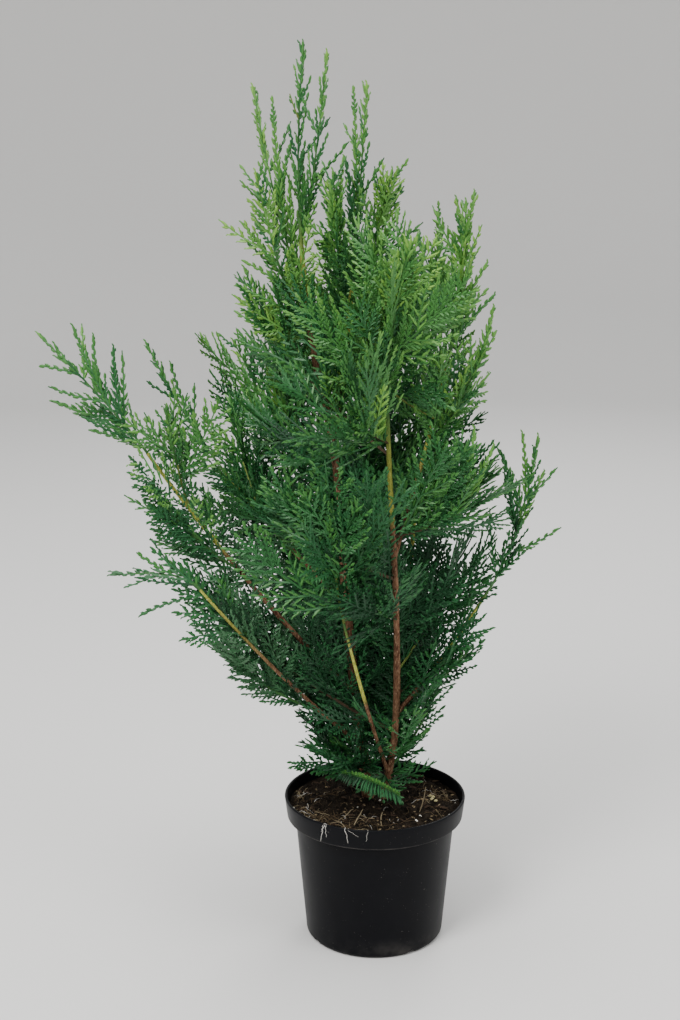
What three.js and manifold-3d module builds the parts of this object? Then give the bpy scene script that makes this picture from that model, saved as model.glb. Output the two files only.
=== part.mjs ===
import * as THREE from "three";
import { mergeVertices } from "three/addons/utils/BufferGeometryUtils.js";
import Module from "manifold-3d";

// Potted thuja
// Millimetres. The pot stands on Z = 0 with its axis on the Z axis, and the plant's best known
// side faces -Y. Bearings are in degrees from +X towards +Y. Neighbouring pieces are kept a
// small clearance apart.

const wasm = await Module();
wasm.setup();
const { Manifold } = wasm;

const degree = Math.PI / 180;
const clearance = 0.3;

// Nursery pot of black plastic
const potHeight = 182;
const rimRadius = 112.5;
const lipWidth = 3.4;
const lipRounding = 1.4;
const collarDepth = 26;
const collarFootRadius = 109.5;
const bodyTopRadius = 99.5;
const footRadius = 86;
const footRounding = 6;
const wall = 2;
const potSides = 28;
const notchCount = 4;
const notchTurn = 32;
const notchWidth = 14;
const notchHeight = 5;
const notchLength = 24;

// Compost, lumpy on top but level round the stems' feet
const soilLevel = 168;
const soilRings = [0, 0.28, 0.55, 0.8];
const lumpHeight = 2.2;
const lumpLength = 90;
const levelRadius = 14;
const lumpyRadius = 34;

// Stems that rise from the compost, by the offset of each from the pot's axis at each height
const stems = [
  {
    name: "trunk",
    foot: 7.2,
    tip: 2.2,
    steps: 14,
    heights: [160, 300, 420, 520, 620, 740, 830, 890],
    east: [-6, -24, -36, -42, -52, -76, -86, -90],
    north: [22, 28, 30, 28, 20, 14, 10, 8],
  },
  {
    name: "front_stem",
    foot: 4.8,
    tip: 2.4,
    steps: 10,
    heights: [160, 260, 380, 500, 600, 680],
    east: [10, 24, 25, 20, 14, 10],
    north: [16, -4, -28, -48, -62, -74],
  },
];
const stemSides = 8;
const rootFlare = 0.3;
const flarePart = 0.03;

// Main boughs: the height each leaves its stem at, its bearing, its reach and its rise
const boughs = [
  { name: "bough_left_long", on: "trunk", at: 300, bearing: 203, reach: 260, rise: 330, foot: 3.4 },
  { name: "bough_left_low", on: "trunk", at: 235, bearing: 213, reach: 225, rise: 240, foot: 2.8 },
  { name: "bough_left_upper", on: "trunk", at: 420, bearing: 174, reach: 155, rise: 170, foot: 3.2 },
  { name: "bough_leader", on: "trunk", at: 605, bearing: 19, reach: 25, rise: 245, foot: 3.8 },
  { name: "bough_rear_left", on: "trunk", at: 300, bearing: 125, reach: 150, rise: 260, foot: 3.6 },
  { name: "bough_rear", on: "trunk", at: 380, bearing: 73, reach: 145, rise: 260, foot: 3.4 },
  { name: "bough_front_shoot", on: "front_stem", at: 205, bearing: 242, reach: 120, rise: 230, foot: 2.7 },
  { name: "bough_right_low", on: "front_stem", at: 290, bearing: 13, reach: 115, rise: 150, foot: 3.0 },
  { name: "bough_right_high", on: "front_stem", at: 500, bearing: 30, reach: 75, rise: 240, foot: 2.9 },
  { name: "bough_rear_right", on: "front_stem", at: 235, bearing: 68, reach: 90, rise: 365, foot: 4.0 },
];
const boughTaper = 0.56;
const boughSides = 5;
const boughSteps = 6;
const boughBend = new THREE.Vector3(0.53, 0.53, 0.45);

// How a mass of foliage grows: how many sprays it bears, how long the longest is, and how far
// a spray's teeth reach for its length
const habits = {
  spire: { sprays: 4, length: 64, fullness: 0.18 },
  shoot: { sprays: 5, length: 78, fullness: 0.23 },
  fan: { sprays: 4, length: 92, fullness: 0.34 },
  bush: { sprays: 4, length: 112, fullness: 0.43 },
  branch: { sprays: 5, length: 128, fullness: 0.45 },
  plume: { sprays: 4, length: 155, fullness: 0.48 },
  skirt: { sprays: 4, length: 95, fullness: 0.46 },
  inner: { sprays: 5, length: 180, fullness: 0.5 },
};

// Masses with a place of their own: the limb each leaves, at the height given or at its tip,
// and its bearing, reach and rise from there
const placedMasses = [
  { name: "spire_trunk", on: "trunk", bearing: 300, reach: 10, rise: 190, habit: "spire" },
  { name: "spire_trunk_side", on: "trunk", at: 865, bearing: 330, reach: 35, rise: 205, habit: "spire" },
  { name: "spire_left", on: "trunk", at: 790, bearing: 185, reach: 60, rise: 245, habit: "shoot" },
  { name: "spire_left_low", on: "trunk", at: 725, bearing: 210, reach: 75, rise: 215, habit: "fan" },
  { name: "spire_leader", on: "bough_leader", bearing: 330, reach: 15, rise: 185, habit: "spire" },
  { name: "leader_front", on: "bough_leader", at: 790, bearing: 315, reach: 65, rise: 150, habit: "fan" },
  { name: "leader_left", on: "bough_leader", at: 740, bearing: 250, reach: 45, rise: 200, habit: "fan" },
  { name: "front_crown", on: "front_stem", bearing: 305, reach: 40, rise: 190, habit: "plume" },
  { name: "far_left_fan", on: "bough_left_long", bearing: 185, reach: 115, rise: 135, habit: "shoot" },
  { name: "long_upper", on: "bough_left_long", at: 560, bearing: 235, reach: 35, rise: 120, habit: "bush" },
  { name: "long_under", on: "bough_left_long", at: 480, bearing: 212, reach: 110, rise: 115, habit: "fan" },
  { name: "upper_left_fan", on: "bough_left_upper", bearing: 175, reach: 85, rise: 145, habit: "spire" },
  { name: "upper_left_side", on: "bough_left_upper", at: 520, bearing: 165, reach: 45, rise: 150, habit: "fan" },
  { name: "upper_left_under", on: "bough_left_upper", at: 480, bearing: 215, reach: 65, rise: 85, habit: "bush" },
  { name: "low_left_fan", on: "bough_left_low", bearing: 185, reach: 95, rise: 20, habit: "spire" },
  { name: "low_upper", on: "bough_left_low", at: 370, bearing: 200, reach: 60, rise: 110, habit: "bush" },
  { name: "low_under", on: "bough_left_low", at: 290, bearing: 195, reach: 135, rise: 100, habit: "branch" },
  { name: "rear_left_fan", on: "bough_rear_left", bearing: 150, reach: 80, rise: 160, habit: "plume" },
  { name: "rear_fan", on: "bough_rear", bearing: 110, reach: 40, rise: 180, habit: "plume" },
  { name: "rear_right_fan", on: "bough_rear_right", bearing: 25, reach: 30, rise: 230, habit: "plume" },
  { name: "right_high_fan", on: "bough_right_high", bearing: 0, reach: 15, rise: 165, habit: "fan" },
  { name: "right_high_side", on: "bough_right_high", at: 620, bearing: 350, reach: 65, rise: 120, habit: "bush" },
  { name: "right_low_fan", on: "bough_right_low", bearing: 355, reach: 55, rise: 190, habit: "shoot" },
  { name: "right_low_side", on: "bough_right_low", at: 310, bearing: 345, reach: 70, rise: 65, habit: "bush" },
  { name: "right_foot", on: "front_stem", at: 215, bearing: 350, reach: 60, rise: 110, habit: "bush" },
  { name: "front_fan", on: "bough_front_shoot", bearing: 250, reach: 45, rise: 130, habit: "plume" },
];

// Masses that leave the two stems in tiers, by the height of their tips
const tiers = [
  { name: "skirt", height: 250, masses: 3, turn: 140, habit: "skirt" },
  { name: "low", height: 345, masses: 3, turn: 100, habit: "inner" },
  { name: "waist", height: 450, masses: 4, turn: 15, habit: "inner" },
  { name: "middle", height: 560, masses: 4, turn: 60, habit: "inner" },
  { name: "shoulder", height: 670, masses: 3, turn: 15, habit: "inner" },
  { name: "high", height: 790, masses: 3, turn: 60, habit: "inner" },
];
const tierReach = 0.78;
const tierSteepness = 0.95;
const tierStagger = 13;
const lowestFork = 195;
const forkBelowTop = 60;

// Outline of the crown: how far it goes west, east, south and north at each height
const crown = {
  heights: [190, 310, 430, 590, 650, 760, 900, 960, 1080],
  west: [-85, -130, -245, -260, -210, -188, -150, -115, -90],
  east: [55, 80, 130, 185, 130, 132, 118, 20, -80],
  south: [-60, -100, -150, -175, -170, -140, -100, -70, -10],
  north: [70, 120, 165, 200, 195, 170, 130, 90, 10],
};
const crownLimit = 1.05;

// A mass's stem, and its choice of place among its neighbours
const massStemFoot = 2.0;
const massStemTip = 1.0;
const massStemSides = 3;
const massStemSteps = 5;
const massStemPart = 0.75;
const sideBend = new THREE.Vector3(0.6, 0.6, 0.38);
const straightPart = 0.4;
const nudges = [0, 8, -8, 16, -16, 24, -24];
const nudgeCost = 0.02;
const lengthCost = 0.01;
const roomEnough = 7;

// A mass's sprays along its stem
const firstSpray = 0.06;
const lastSpray = 0.8;
const endSpray = 0.7;
const sprayLean = 44 * degree;
const sprayTaper = 0.5;
const sprayLift = 0.1;
const sprayCurl = 0.12;
const faceSpread = 40 * degree;
const aboutSpread = 25 * degree;
const leanSpread = 8 * degree;
const twistSpread = 15 * degree;
const lengthSpread = 0.12;
const turns = [0, 25, -25, 50, -50];
const shrinkStep = 0.1;
const leastPart = 0.4;

// One spray: a toothed blade
const teeth = 3;
const ribHalfThickness = 0.9;
const ribThinning = 0.5;
const rootDepth = 1;
const rootLength = 4;
const rootHalfWidth = 1.2;
const toothedPart = 0.86;
const notchShare = 0.3;
const notchNarrowing = 0.85;
const toothNarrowing = 0.62;
const firstTooth = 0.85;
const toothShifts = [0.15, 0.5];

// The space that each mass keeps to
const ownMargin = 2;
const overreach = 60;
const leastGap = 0.7;
const ownCrossing = 2;
const floorLevel = soilLevel + 5;
const rimLevel = potHeight + 3;
const insideRim = 98;
const rootReach = 3;

const up = new THREE.Vector3(0, 0, 1);
const south = new THREE.Vector3(0, -1, 0);
const east = new THREE.Vector3(1, 0, 0);

function dice(seed) {
  let state = seed * 7919 + 12345;
  const roll = () => {
    state = (state * 48271) % 2147483647;
    return state / 2147483647;
  };
  roll();
  roll();
  roll();
  return (width) => (2 * roll() - 1) * width;
}

function solidOf(geometry) {
  const bare = new THREE.BufferGeometry();
  bare.setAttribute("position", geometry.getAttribute("position"));
  bare.setIndex(geometry.getIndex());
  const merged = mergeVertices(bare, 1e-4);
  return new Manifold(
    new wasm.Mesh({
      numProp: 3,
      vertProperties: new Float32Array(merged.getAttribute("position").array),
      triVerts: new Uint32Array(merged.getIndex().array),
    }),
  );
}

// The main body of a solid, without loose scraps or sealed hollows
function largest(solid) {
  return solid.decompose().reduce((a, b) => (a.volume() > b.volume() ? a : b));
}

function meshOf(name, solid, material) {
  const raw = solid.getMesh();
  const geometry = new THREE.BufferGeometry();
  geometry.setAttribute("position", new THREE.BufferAttribute(new Float32Array(raw.vertProperties), 3));
  geometry.setIndex(new THREE.BufferAttribute(new Uint32Array(raw.triVerts), 1));
  geometry.computeVertexNormals();
  const mesh = new THREE.Mesh(geometry, material);
  mesh.name = name;
  return mesh;
}

// A turned shape: its outline is given as [radius, height] from the axis round and back to it
function turned(outline) {
  const points = outline.map(([radius, height]) => new THREE.Vector2(radius, height));
  const geometry = new THREE.LatheGeometry(points, potSides);
  geometry.rotateX(Math.PI / 2);
  return geometry;
}

// Pot: a turned shell with arched drain notches through the bottom edge of its wall
const collarFoot = potHeight - collarDepth;
const ledge = collarFoot + wall;
const roundedFoot = [0, 0.5, 1].map((part) => {
  const angle = (part * Math.PI) / 2;
  return [footRadius + footRounding * (Math.sin(angle) - 1), footRounding * (1 - Math.cos(angle))];
});
const potOutline = [
  [0, 0],
  ...roundedFoot,
  [bodyTopRadius, collarFoot],
  [collarFootRadius, collarFoot],
  [rimRadius, potHeight - lipRounding],
  [rimRadius - lipRounding, potHeight],
  [rimRadius - lipWidth, potHeight],
  [collarFootRadius - wall, ledge],
  [bodyTopRadius - wall, ledge],
  [footRadius - wall, footRounding],
  [footRadius - wall - footRounding, wall],
  [0, wall],
];
const notches = [];
for (let i = 0; i < notchCount; i++) {
  const arch = new THREE.CylinderGeometry(notchWidth / 2, notchWidth / 2, notchLength, 8);
  arch.scale(1, 1, (2 * notchHeight) / notchWidth);
  arch.rotateX(Math.PI / 2);
  arch.rotateY(Math.PI / 2);
  arch.rotateX(Math.PI / 2);
  arch.translate(footRadius, 0, 0);
  arch.rotateZ(notchTurn * degree + (i * 2 * Math.PI) / notchCount);
  notches.push(solidOf(arch));
}
const pot = solidOf(turned(potOutline)).subtract(Manifold.union(notches));

// Compost: it fills the pot to just under the rim
const soilEdge = collarFootRadius - wall - clearance;
const compostOutline = [
  [0, wall + clearance],
  [footRadius - wall - footRounding - clearance, wall + clearance],
  [footRadius - wall - 2 * clearance, footRounding],
  [bodyTopRadius - wall - clearance, ledge + clearance],
  [soilEdge, ledge + clearance],
  [soilEdge, soilLevel],
  ...soilRings.toReversed().map((part) => [part * soilEdge, soilLevel]),
];
const compostShape = turned(compostOutline);
const compostPlace = compostShape.getAttribute("position");
for (let i = 0; i < compostPlace.count; i++) {
  const x = compostPlace.getX(i);
  const y = compostPlace.getY(i);
  if (Math.abs(compostPlace.getZ(i) - soilLevel) > 0.01) continue;
  const fromFoot = Math.min(...stems.map((stem) => Math.hypot(x - stem.east[0], y - stem.north[0])));
  const free = THREE.MathUtils.smoothstep(fromFoot, levelRadius, lumpyRadius);
  const wave = (2 * Math.PI) / lumpLength;
  const lump = 0.6 * Math.sin(x * wave) * Math.cos(y * wave) + 0.4 * Math.sin((x - y) * 2 * wave);
  compostPlace.setZ(i, soilLevel + lumpHeight * free * lump);
}
const compost = solidOf(compostShape);

// Limbs
function limbRadius(limb, t) {
  const flare = limb.flare ? 1 + rootFlare * Math.exp(-t / flarePart) : 1;
  return (limb.foot + (limb.tip - limb.foot) * t) * flare;
}

// A round rod bent along a curve, with flat sides
function limbSolid(curve, radiusAt, sides, steps, to = 1) {
  const shape = new THREE.CylinderGeometry(1, 1, 1, sides, steps);
  const place = shape.getAttribute("position");
  const whole = curve.getPoint(1).sub(curve.getPoint(0));
  const aside = Math.abs(whole.normalize().y) < 0.7 ? south : east;
  for (let i = 0; i < place.count; i++) {
    const t = to * (place.getY(i) + 0.5);
    const centre = curve.getPoint(t);
    const along = curve.getTangent(t);
    const right = new THREE.Vector3().crossVectors(along, aside).normalize();
    const front = new THREE.Vector3().crossVectors(right, along);
    const spread = radiusAt(t);
    centre.addScaledVector(right, place.getX(i) * spread);
    centre.addScaledVector(front, place.getZ(i) * spread);
    place.setXYZ(i, centre.x, centre.y, centre.z);
  }
  return solidOf(shape);
}

function partAtHeight(curve, height) {
  let low = 0;
  let high = 1;
  while (high - low > 1e-9) {
    const middle = (low + high) / 2;
    if (curve.getPoint(middle).z < height) low = middle;
    else high = middle;
  }
  return low;
}

const pointAtHeight = (curve, height) => curve.getPoint(partAtHeight(curve, height));

function offsetOf({ bearing, reach, rise }) {
  const angle = bearing * degree;
  return new THREE.Vector3(reach * Math.cos(angle), reach * Math.sin(angle), rise);
}

// A curve that leaves its foot one way and bends towards its tip
function bent(start, tip, bend) {
  const middle = tip.clone().sub(start).multiply(bend).add(start);
  return new THREE.QuadraticBezierCurve3(start, middle, tip);
}

const limbs = new Map();
function addLimb(limb, curve, sides, steps, carrier) {
  const swollen = (margin) => limbSolid(curve, (t) => limbRadius(limb, t) + margin, sides, steps);
  const whole = swollen(0);
  const solid = carrier
    ? largest(whole.subtract(carrier.grown))
    : whole.trimByPlane([0, 0, 1], soilLevel + clearance);
  limbs.set(limb.name, {
    curve,
    solid,
    grown: swollen(clearance),
    shy: swollen(ownMargin),
    line: curve.getPoints(16),
    thick: limb.foot,
    top: curve.getPoint(1).z,
  });
}

for (const stem of stems) {
  const points = stem.heights.map((height, i) => new THREE.Vector3(stem.east[i], stem.north[i], height));
  const curve = new THREE.CatmullRomCurve3(points, false, "catmullrom", 0.5);
  addLimb({ ...stem, flare: true }, curve, stemSides, stem.steps);
}

for (const bough of boughs) {
  const carrier = limbs.get(bough.on);
  const start = pointAtHeight(carrier.curve, bough.at);
  const curve = bent(start, offsetOf(bough).add(start), boughBend);
  addLimb({ ...bough, tip: bough.foot * boughTaper }, curve, boughSides, boughSteps, carrier);
}

// The crown's edge at a height, on one side
function crownAt(side, height) {
  const { heights } = crown;
  let i = 0;
  while (i + 2 < heights.length && height > heights[i + 1]) i++;
  const part = (height - heights[i]) / (heights[i + 1] - heights[i]);
  return THREE.MathUtils.lerp(crown[side][i], crown[side][i + 1], part);
}

// The crown's slice at a height, as an ellipse
function crownSlice(height) {
  const [west, right, front, back] = ["west", "east", "south", "north"].map((side) => crownAt(side, height));
  const halfX = (right - west) / 2;
  const halfY = (back - front) / 2;
  return { x: west + halfX, y: front + halfY, halfX, halfY };
}

function withinCrown(point) {
  const slice = crownSlice(point.z);
  return Math.hypot((point.x - slice.x) / slice.halfX, (point.y - slice.y) / slice.halfY) < crownLimit;
}

// Stems of the masses
function placedStem(mass) {
  const { curve } = limbs.get(mass.on);
  const offset = offsetOf(mass);
  if (mass.at) {
    const start = pointAtHeight(curve, mass.at);
    return bent(start, offset.add(start), sideBend);
  }
  const end = curve.getPoint(1);
  const along = curve.getTangent(1);
  const start = end.clone().addScaledVector(along, clearance);
  const middle = start.clone().addScaledVector(along, straightPart * offset.length());
  return new THREE.QuadraticBezierCurve3(start, middle, offset.add(end));
}

// A stem that leaves a limb, outwards first and then up, to a place in its tier
function tierStem(carrier, tier, bearing, stagger) {
  const slice = crownSlice(tier.height);
  const angle = bearing * degree;
  const x = slice.x + tierReach * slice.halfX * Math.cos(angle);
  const y = slice.y + tierReach * slice.halfY * Math.sin(angle);
  const level = pointAtHeight(carrier.curve, tier.height);
  const away = Math.hypot(x - level.x, y - level.y);
  const highest = carrier.top - forkBelowTop;
  const fork = THREE.MathUtils.clamp(tier.height - tierSteepness * away, lowestFork, highest);
  const start = pointAtHeight(carrier.curve, fork + stagger);
  return bent(start, new THREE.Vector3(x, y, tier.height), sideBend);
}

function distanceTo(line, point) {
  let least = Infinity;
  const near = new THREE.Vector3();
  const piece = new THREE.Line3();
  for (let i = 0; i + 1 < line.length; i++) {
    piece.set(line[i], line[i + 1]).closestPointToPoint(point, true, near);
    least = Math.min(least, near.distanceTo(point));
  }
  return least;
}

// Room that a stem has from the limbs, its own only past its foot, and from the stems before it
function roomOf(stem, on, masses) {
  const points = stem.getPoints(24).slice(1);
  const rooms = [];
  for (const [name, limb] of limbs) {
    const compared = name === on ? points.slice(4) : points;
    rooms.push(...compared.map((point) => distanceTo(limb.line, point) - limb.thick));
  }
  for (const { line } of masses) rooms.push(...points.map((point) => distanceTo(line, point) / 2));
  return Math.min(...rooms);
}

const masses = [];
function addMass(name, on, stem, habit, side) {
  masses.push({ ...habits[habit], name, on, stem, side, line: stem.getPoints(12) });
}
for (const mass of placedMasses) {
  addMass(mass.name, mass.on, placedStem(mass), mass.habit, "at" in mass);
}
for (const tier of tiers) {
  for (let i = 0; i < tier.masses; i++) {
    let best;
    for (const nudge of nudges) {
      for (const { name: on } of stems) {
        const bearing = tier.turn + (360 * i) / tier.masses + nudge;
        const stem = tierStem(limbs.get(on), tier, bearing, tierStagger * i);
        const cost = nudgeCost * Math.abs(nudge) + lengthCost * stem.getLength();
        const worth = Math.min(roomOf(stem, on, masses), roomEnough) - cost;
        if (!best || worth > best.worth) best = { on, stem, worth };
      }
    }
    addMass(`${tier.name}_${i + 1}`, best.on, best.stem, tier.habit, true);
  }
}

const squareTo = (way, axis) => way.clone().addScaledVector(axis, -way.dot(axis)).normalize();
const roundAxis = (way, axis, angle) => way.clone().applyAxisAngle(axis, angle);

// The sprays of a mass: where each springs from its stem, how long it may be and how it leans
function growSprays(mass, seed) {
  const spread = dice(seed);
  const faceTurn = spread(faceSpread);
  const sprays = [];
  for (let i = 0; i < mass.sprays; i++) {
    const end = i === mass.sprays - 1;
    const inner = firstSpray + ((lastSpray - firstSpray) * (i + 0.3)) / (mass.sprays - 1);
    const t = end ? endSpray : inner;
    const side = i % 2 ? 1 : -1;
    const about = spread(aboutSpread);
    const lean = sprayLean + spread(leanSpread);
    const length = mass.length * (1 - sprayTaper * t) * (1 + spread(lengthSpread));
    const twist = spread(twistSpread);
    sprays.push({ end, t, faceTurn, side, about, lean, length, twist });
  }
  return sprays;
}

// How a spray lies: the way its rib runs and the way it faces, turned about its stem if need be.
// The last one runs on to the stem's tip.
function laySpray(stem, spray, turn) {
  const start = stem.getPoint(spray.t);
  const along = stem.getTangent(spray.t);
  const face = roundAxis(squareTo(south, along), along, spray.faceTurn);
  if (spray.end) {
    const way = stem.getPoint(1).sub(start);
    const length = way.length();
    way.normalize();
    return { start, way, face: squareTo(face, way), length, lift: new THREE.Vector3() };
  }
  const about = spray.about + turn * degree;
  const square = new THREE.Vector3().crossVectors(along, face).multiplyScalar(spray.side);
  const out = roundAxis(square, along, about);
  const way = along.clone().multiplyScalar(Math.cos(spray.lean));
  way.addScaledVector(out, Math.sin(spray.lean)).normalize();
  const flat = roundAxis(squareTo(roundAxis(face, along, about), way), way, spray.twist);
  const lift = up.clone().multiplyScalar(sprayLift).addScaledVector(along, sprayCurl);
  return { start, way, face: flat, length: spray.length, lift };
}

// One spray: a flat blade with a row of teeth down each side, thickest along its rib and sharp
// at its edges. Its root is sunk into the stem.
function sprayShape(spray, fullness, length) {
  const across = new THREE.Vector3().crossVectors(spray.face, spray.way);
  const points = [];
  const add = (part, out = 0, rise = 0) => {
    const point = spray.start.clone().addScaledVector(spray.way, length * part);
    point.addScaledVector(spray.lift, length * part * part);
    point.addScaledVector(across, out).addScaledVector(spray.face, rise);
    return points.push(point) - 1;
  };
  const root = add(-rootDepth / length);
  const first = rootLength / length;
  const step = (toothedPart - first) / teeth;
  const ribs = [];
  const edges = [[], []];
  const tips = [[], []];
  for (let i = 0; i <= teeth; i++) {
    const part = first + step * i;
    const thick = ribHalfThickness * (1 - ribThinning * part);
    const wide = i ? 1 + notchShare * fullness * length * (1 - notchNarrowing * part) : rootHalfWidth;
    ribs.push([add(part, 0, thick), add(part, 0, -thick)]);
    edges[0].push(add(part, -wide));
    edges[1].push(add(part, wide));
    if (i === teeth) break;
    const reach = fullness * length * (i ? 1 - (toothNarrowing * i) / teeth : firstTooth);
    toothShifts.forEach((shift, half) => {
      const from = part + step * shift + (Math.cos(sprayLean) * reach) / length;
      tips[half].push(add(from, (half ? 1 : -1) * Math.sin(sprayLean) * reach));
    });
  }
  const tip = add(1);
  const faces = [];
  const both = (half, ...corners) => {
    for (const under of [0, 1]) {
      const face = corners.map((corner) => (Array.isArray(corner) ? corner[under] : corner));
      faces.push(...(half === under ? face : face.reverse()));
    }
  };
  for (const half of [0, 1]) {
    const edge = edges[half];
    both(half, root, edge[0], ribs[0]);
    for (let i = 0; i < teeth; i++) {
      both(half, ribs[i], edge[i], tips[half][i]);
      both(half, ribs[i], tips[half][i], edge[i + 1]);
      both(half, ribs[i], edge[i + 1], ribs[i + 1]);
    }
    both(half, ribs[teeth], edge[teeth], tip);
  }
  const shape = new THREE.BufferGeometry().setFromPoints(points);
  shape.setIndex(faces);
  return { shape, points };
}

// Whether a spray stays in its mass's own space: over the compost, clear of the pot's rim,
// inside the crown unless its stem leads out of it, and near its own stem for its size
function keepsItsSpace(mass, points) {
  const strays = !withinCrown(mass.stem.getPoint(1));
  return points.every((point) => {
    const own = distanceTo(mass.line, point);
    if (own < rootReach) return true;
    if (point.z < floorLevel) return false;
    if (!strays && !withinCrown(point)) return false;
    if (point.z < rimLevel && Math.hypot(point.x, point.y) > insideRim) return false;
    return masses.every((other) => other === mass || distanceTo(other.line, point) > own - overreach);
  });
}

// Masses of foliage. Each spray is the longest of its kind that finds room, and a spray that
// finds none is left out.
const shyLimbs = Manifold.union([...limbs.values()].map((limb) => limb.shy));
for (const mass of masses) {
  const radiusAt = (t) => massStemFoot + (massStemTip - massStemFoot) * t;
  mass.solid = limbSolid(mass.stem, radiusAt, massStemSides, massStemSteps, massStemPart);
  if (mass.side) mass.solid = largest(mass.solid.subtract(limbs.get(mass.on).grown));
}
masses.forEach((mass, index) => {
  const others = masses.filter((other) => other !== mass);
  const placed = [];
  const finds = (spray, part, turn) => {
    const laid = laySpray(mass.stem, spray, turn);
    const { shape, points } = sprayShape(laid, mass.fullness, laid.length * part);
    if (!keepsItsSpace(mass, points)) return false;
    const solid = solidOf(shape);
    if (!solid.intersect(shyLimbs).isEmpty()) return false;
    if (placed.some((other) => solid.intersect(other).volume() > ownCrossing)) return false;
    if (others.some((other) => solid.minGap(other.solid, leastGap) < leastGap)) return false;
    placed.push(solid);
    return true;
  };
  for (const spray of growSprays(mass, index + 1)) {
    let found = false;
    for (let part = 1; !found && part > leastPart; part -= shrinkStep) {
      found = (spray.end ? [0] : turns).some((turn) => finds(spray, part, turn));
    }
  }
  mass.solid = largest(Manifold.union([mass.solid, ...placed]).simplify(0.1));
});

// The plant in its pot
const part = new THREE.Group();
part.name = "potted_thuja";
const materialOf = (name, color, roughness) => {
  const made = new THREE.MeshStandardMaterial({ color, roughness, metalness: 0 });
  made.name = name;
  return made;
};
const stemBark = { trunk: 0x5a3826, front_stem: 0x7a4a2c };
part.add(meshOf("pot", pot, materialOf("pot_plastic", 0x17181a, 0.45)));
part.add(meshOf("compost", compost, materialOf("compost", 0x2b211a, 0.95)));
for (const [name, limb] of limbs) {
  part.add(meshOf(name, limb.solid, materialOf(`${name}_bark`, stemBark[name] ?? 0x6e4528, 0.85)));
}
for (const mass of masses) {
  part.add(meshOf(mass.name, mass.solid, materialOf(`${mass.name}_foliage`, 0x3f6b35, 0.8)));
}

export default part;
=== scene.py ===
import math
import bpy
import numpy as np
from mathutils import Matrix, Quaternion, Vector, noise
from mathutils.kdtree import KDTree


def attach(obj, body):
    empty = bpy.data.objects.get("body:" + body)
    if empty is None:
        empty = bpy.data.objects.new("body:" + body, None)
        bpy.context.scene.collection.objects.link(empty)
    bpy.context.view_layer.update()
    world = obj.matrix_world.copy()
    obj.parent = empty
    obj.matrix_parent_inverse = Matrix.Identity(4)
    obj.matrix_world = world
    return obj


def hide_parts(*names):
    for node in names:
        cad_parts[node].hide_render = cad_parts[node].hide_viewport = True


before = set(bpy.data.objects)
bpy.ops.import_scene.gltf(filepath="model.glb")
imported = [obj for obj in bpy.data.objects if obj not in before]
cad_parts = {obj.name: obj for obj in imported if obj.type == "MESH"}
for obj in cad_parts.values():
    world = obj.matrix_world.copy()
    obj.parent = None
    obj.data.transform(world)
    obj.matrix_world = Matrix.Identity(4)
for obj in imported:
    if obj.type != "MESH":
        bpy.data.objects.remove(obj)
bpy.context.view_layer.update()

degree = math.pi / 180


# Nursery pot
# A five-litre pot, moulded in thin black plastic with a turned-down collar under its rolled lip.
# It is drawn up ring by ring, and four arched drain notches are cut through its foot.
pot_height = 0.182
rim_radius = 0.1125
lip_width = 0.0034
collar_foot = 0.156
collar_foot_radius = 0.1095
body_top_radius = 0.0995
foot_radius = 0.086
foot_rounding = 0.006
wall = 0.002
edge_rounding = 0.0008
round_sides = 192
notch_count = 4
notch_turn = 32 * degree
notch_width = 0.014
notch_height = 0.005
notch_length = 0.024
notch_sides = 32
foot_rings = (0.02, 0.05, 0.075)
floor_ring = 0.04


def arc(radius, height, size, start, end, steps):
    """Points on a quarter or half round of an outline, as (radius, height)"""
    turns = [(start + (end - start) * i / steps) * degree for i in range(steps + 1)]
    return [(radius + size * math.cos(turn), height + size * math.sin(turn)) for turn in turns]


def draw_up(name, outline, sides=round_sides, closed=True):
    """A round piece drawn from a flat disc, ring by ring, to the last ring of its outline: closed,
    or an open sheet"""
    bpy.ops.object.select_all(action="DESELECT")
    radius, height = outline[0]
    start = (0, 0, height)
    bpy.ops.mesh.primitive_circle_add(vertices=sides, radius=radius, fill_type="NGON", location=start)
    piece = bpy.context.object
    piece.name = name
    bpy.ops.object.transform_apply(location=True)
    bpy.ops.object.mode_set(mode="EDIT")
    bpy.ops.mesh.select_mode(type="VERT" if closed else "EDGE")
    bpy.ops.mesh.select_all(action="SELECT")
    extrude = bpy.ops.mesh.extrude_region_move if closed else bpy.ops.mesh.extrude_edges_move
    for next_radius, next_height in outline[1:]:
        extrude(TRANSFORM_OT_translate={"value": (0, 0, next_height - height)})
        size = next_radius / radius
        bpy.ops.transform.resize(value=(size, size, 1), center_override=(0, 0, next_height))
        radius, height = next_radius, next_height
    if closed:
        bpy.ops.mesh.select_all(action="SELECT")
        bpy.ops.mesh.normals_make_consistent(inside=False)
    bpy.ops.object.mode_set(mode="OBJECT")
    return piece


lip = lip_width / 2
body_rings = 12
pot_outline = [
    *[(ring, 0) for ring in foot_rings],
    *arc(foot_radius - foot_rounding, foot_rounding, foot_rounding, -90, 0, 8),
    *[(foot_radius + (body_top_radius - foot_radius) * i / body_rings, foot_rounding
       + (collar_foot - foot_rounding) * i / body_rings) for i in range(1, body_rings + 1)],
    (body_top_radius + edge_rounding, collar_foot),
    *arc(collar_foot_radius - edge_rounding, collar_foot + edge_rounding, edge_rounding, -90, 0, 4),
    *[(collar_foot_radius + (rim_radius - collar_foot_radius) * i / 4, collar_foot
       + (pot_height - lip - collar_foot) * i / 4) for i in range(1, 4)],
    *arc(rim_radius - lip, pot_height - lip, lip, 0, 180, 12),
    (collar_foot_radius - wall, collar_foot + wall),
    (body_top_radius - wall, collar_foot + wall),
    (foot_radius - wall, foot_rounding),
    (foot_radius - wall - foot_rounding, wall),
    (floor_ring, wall),
]
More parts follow.
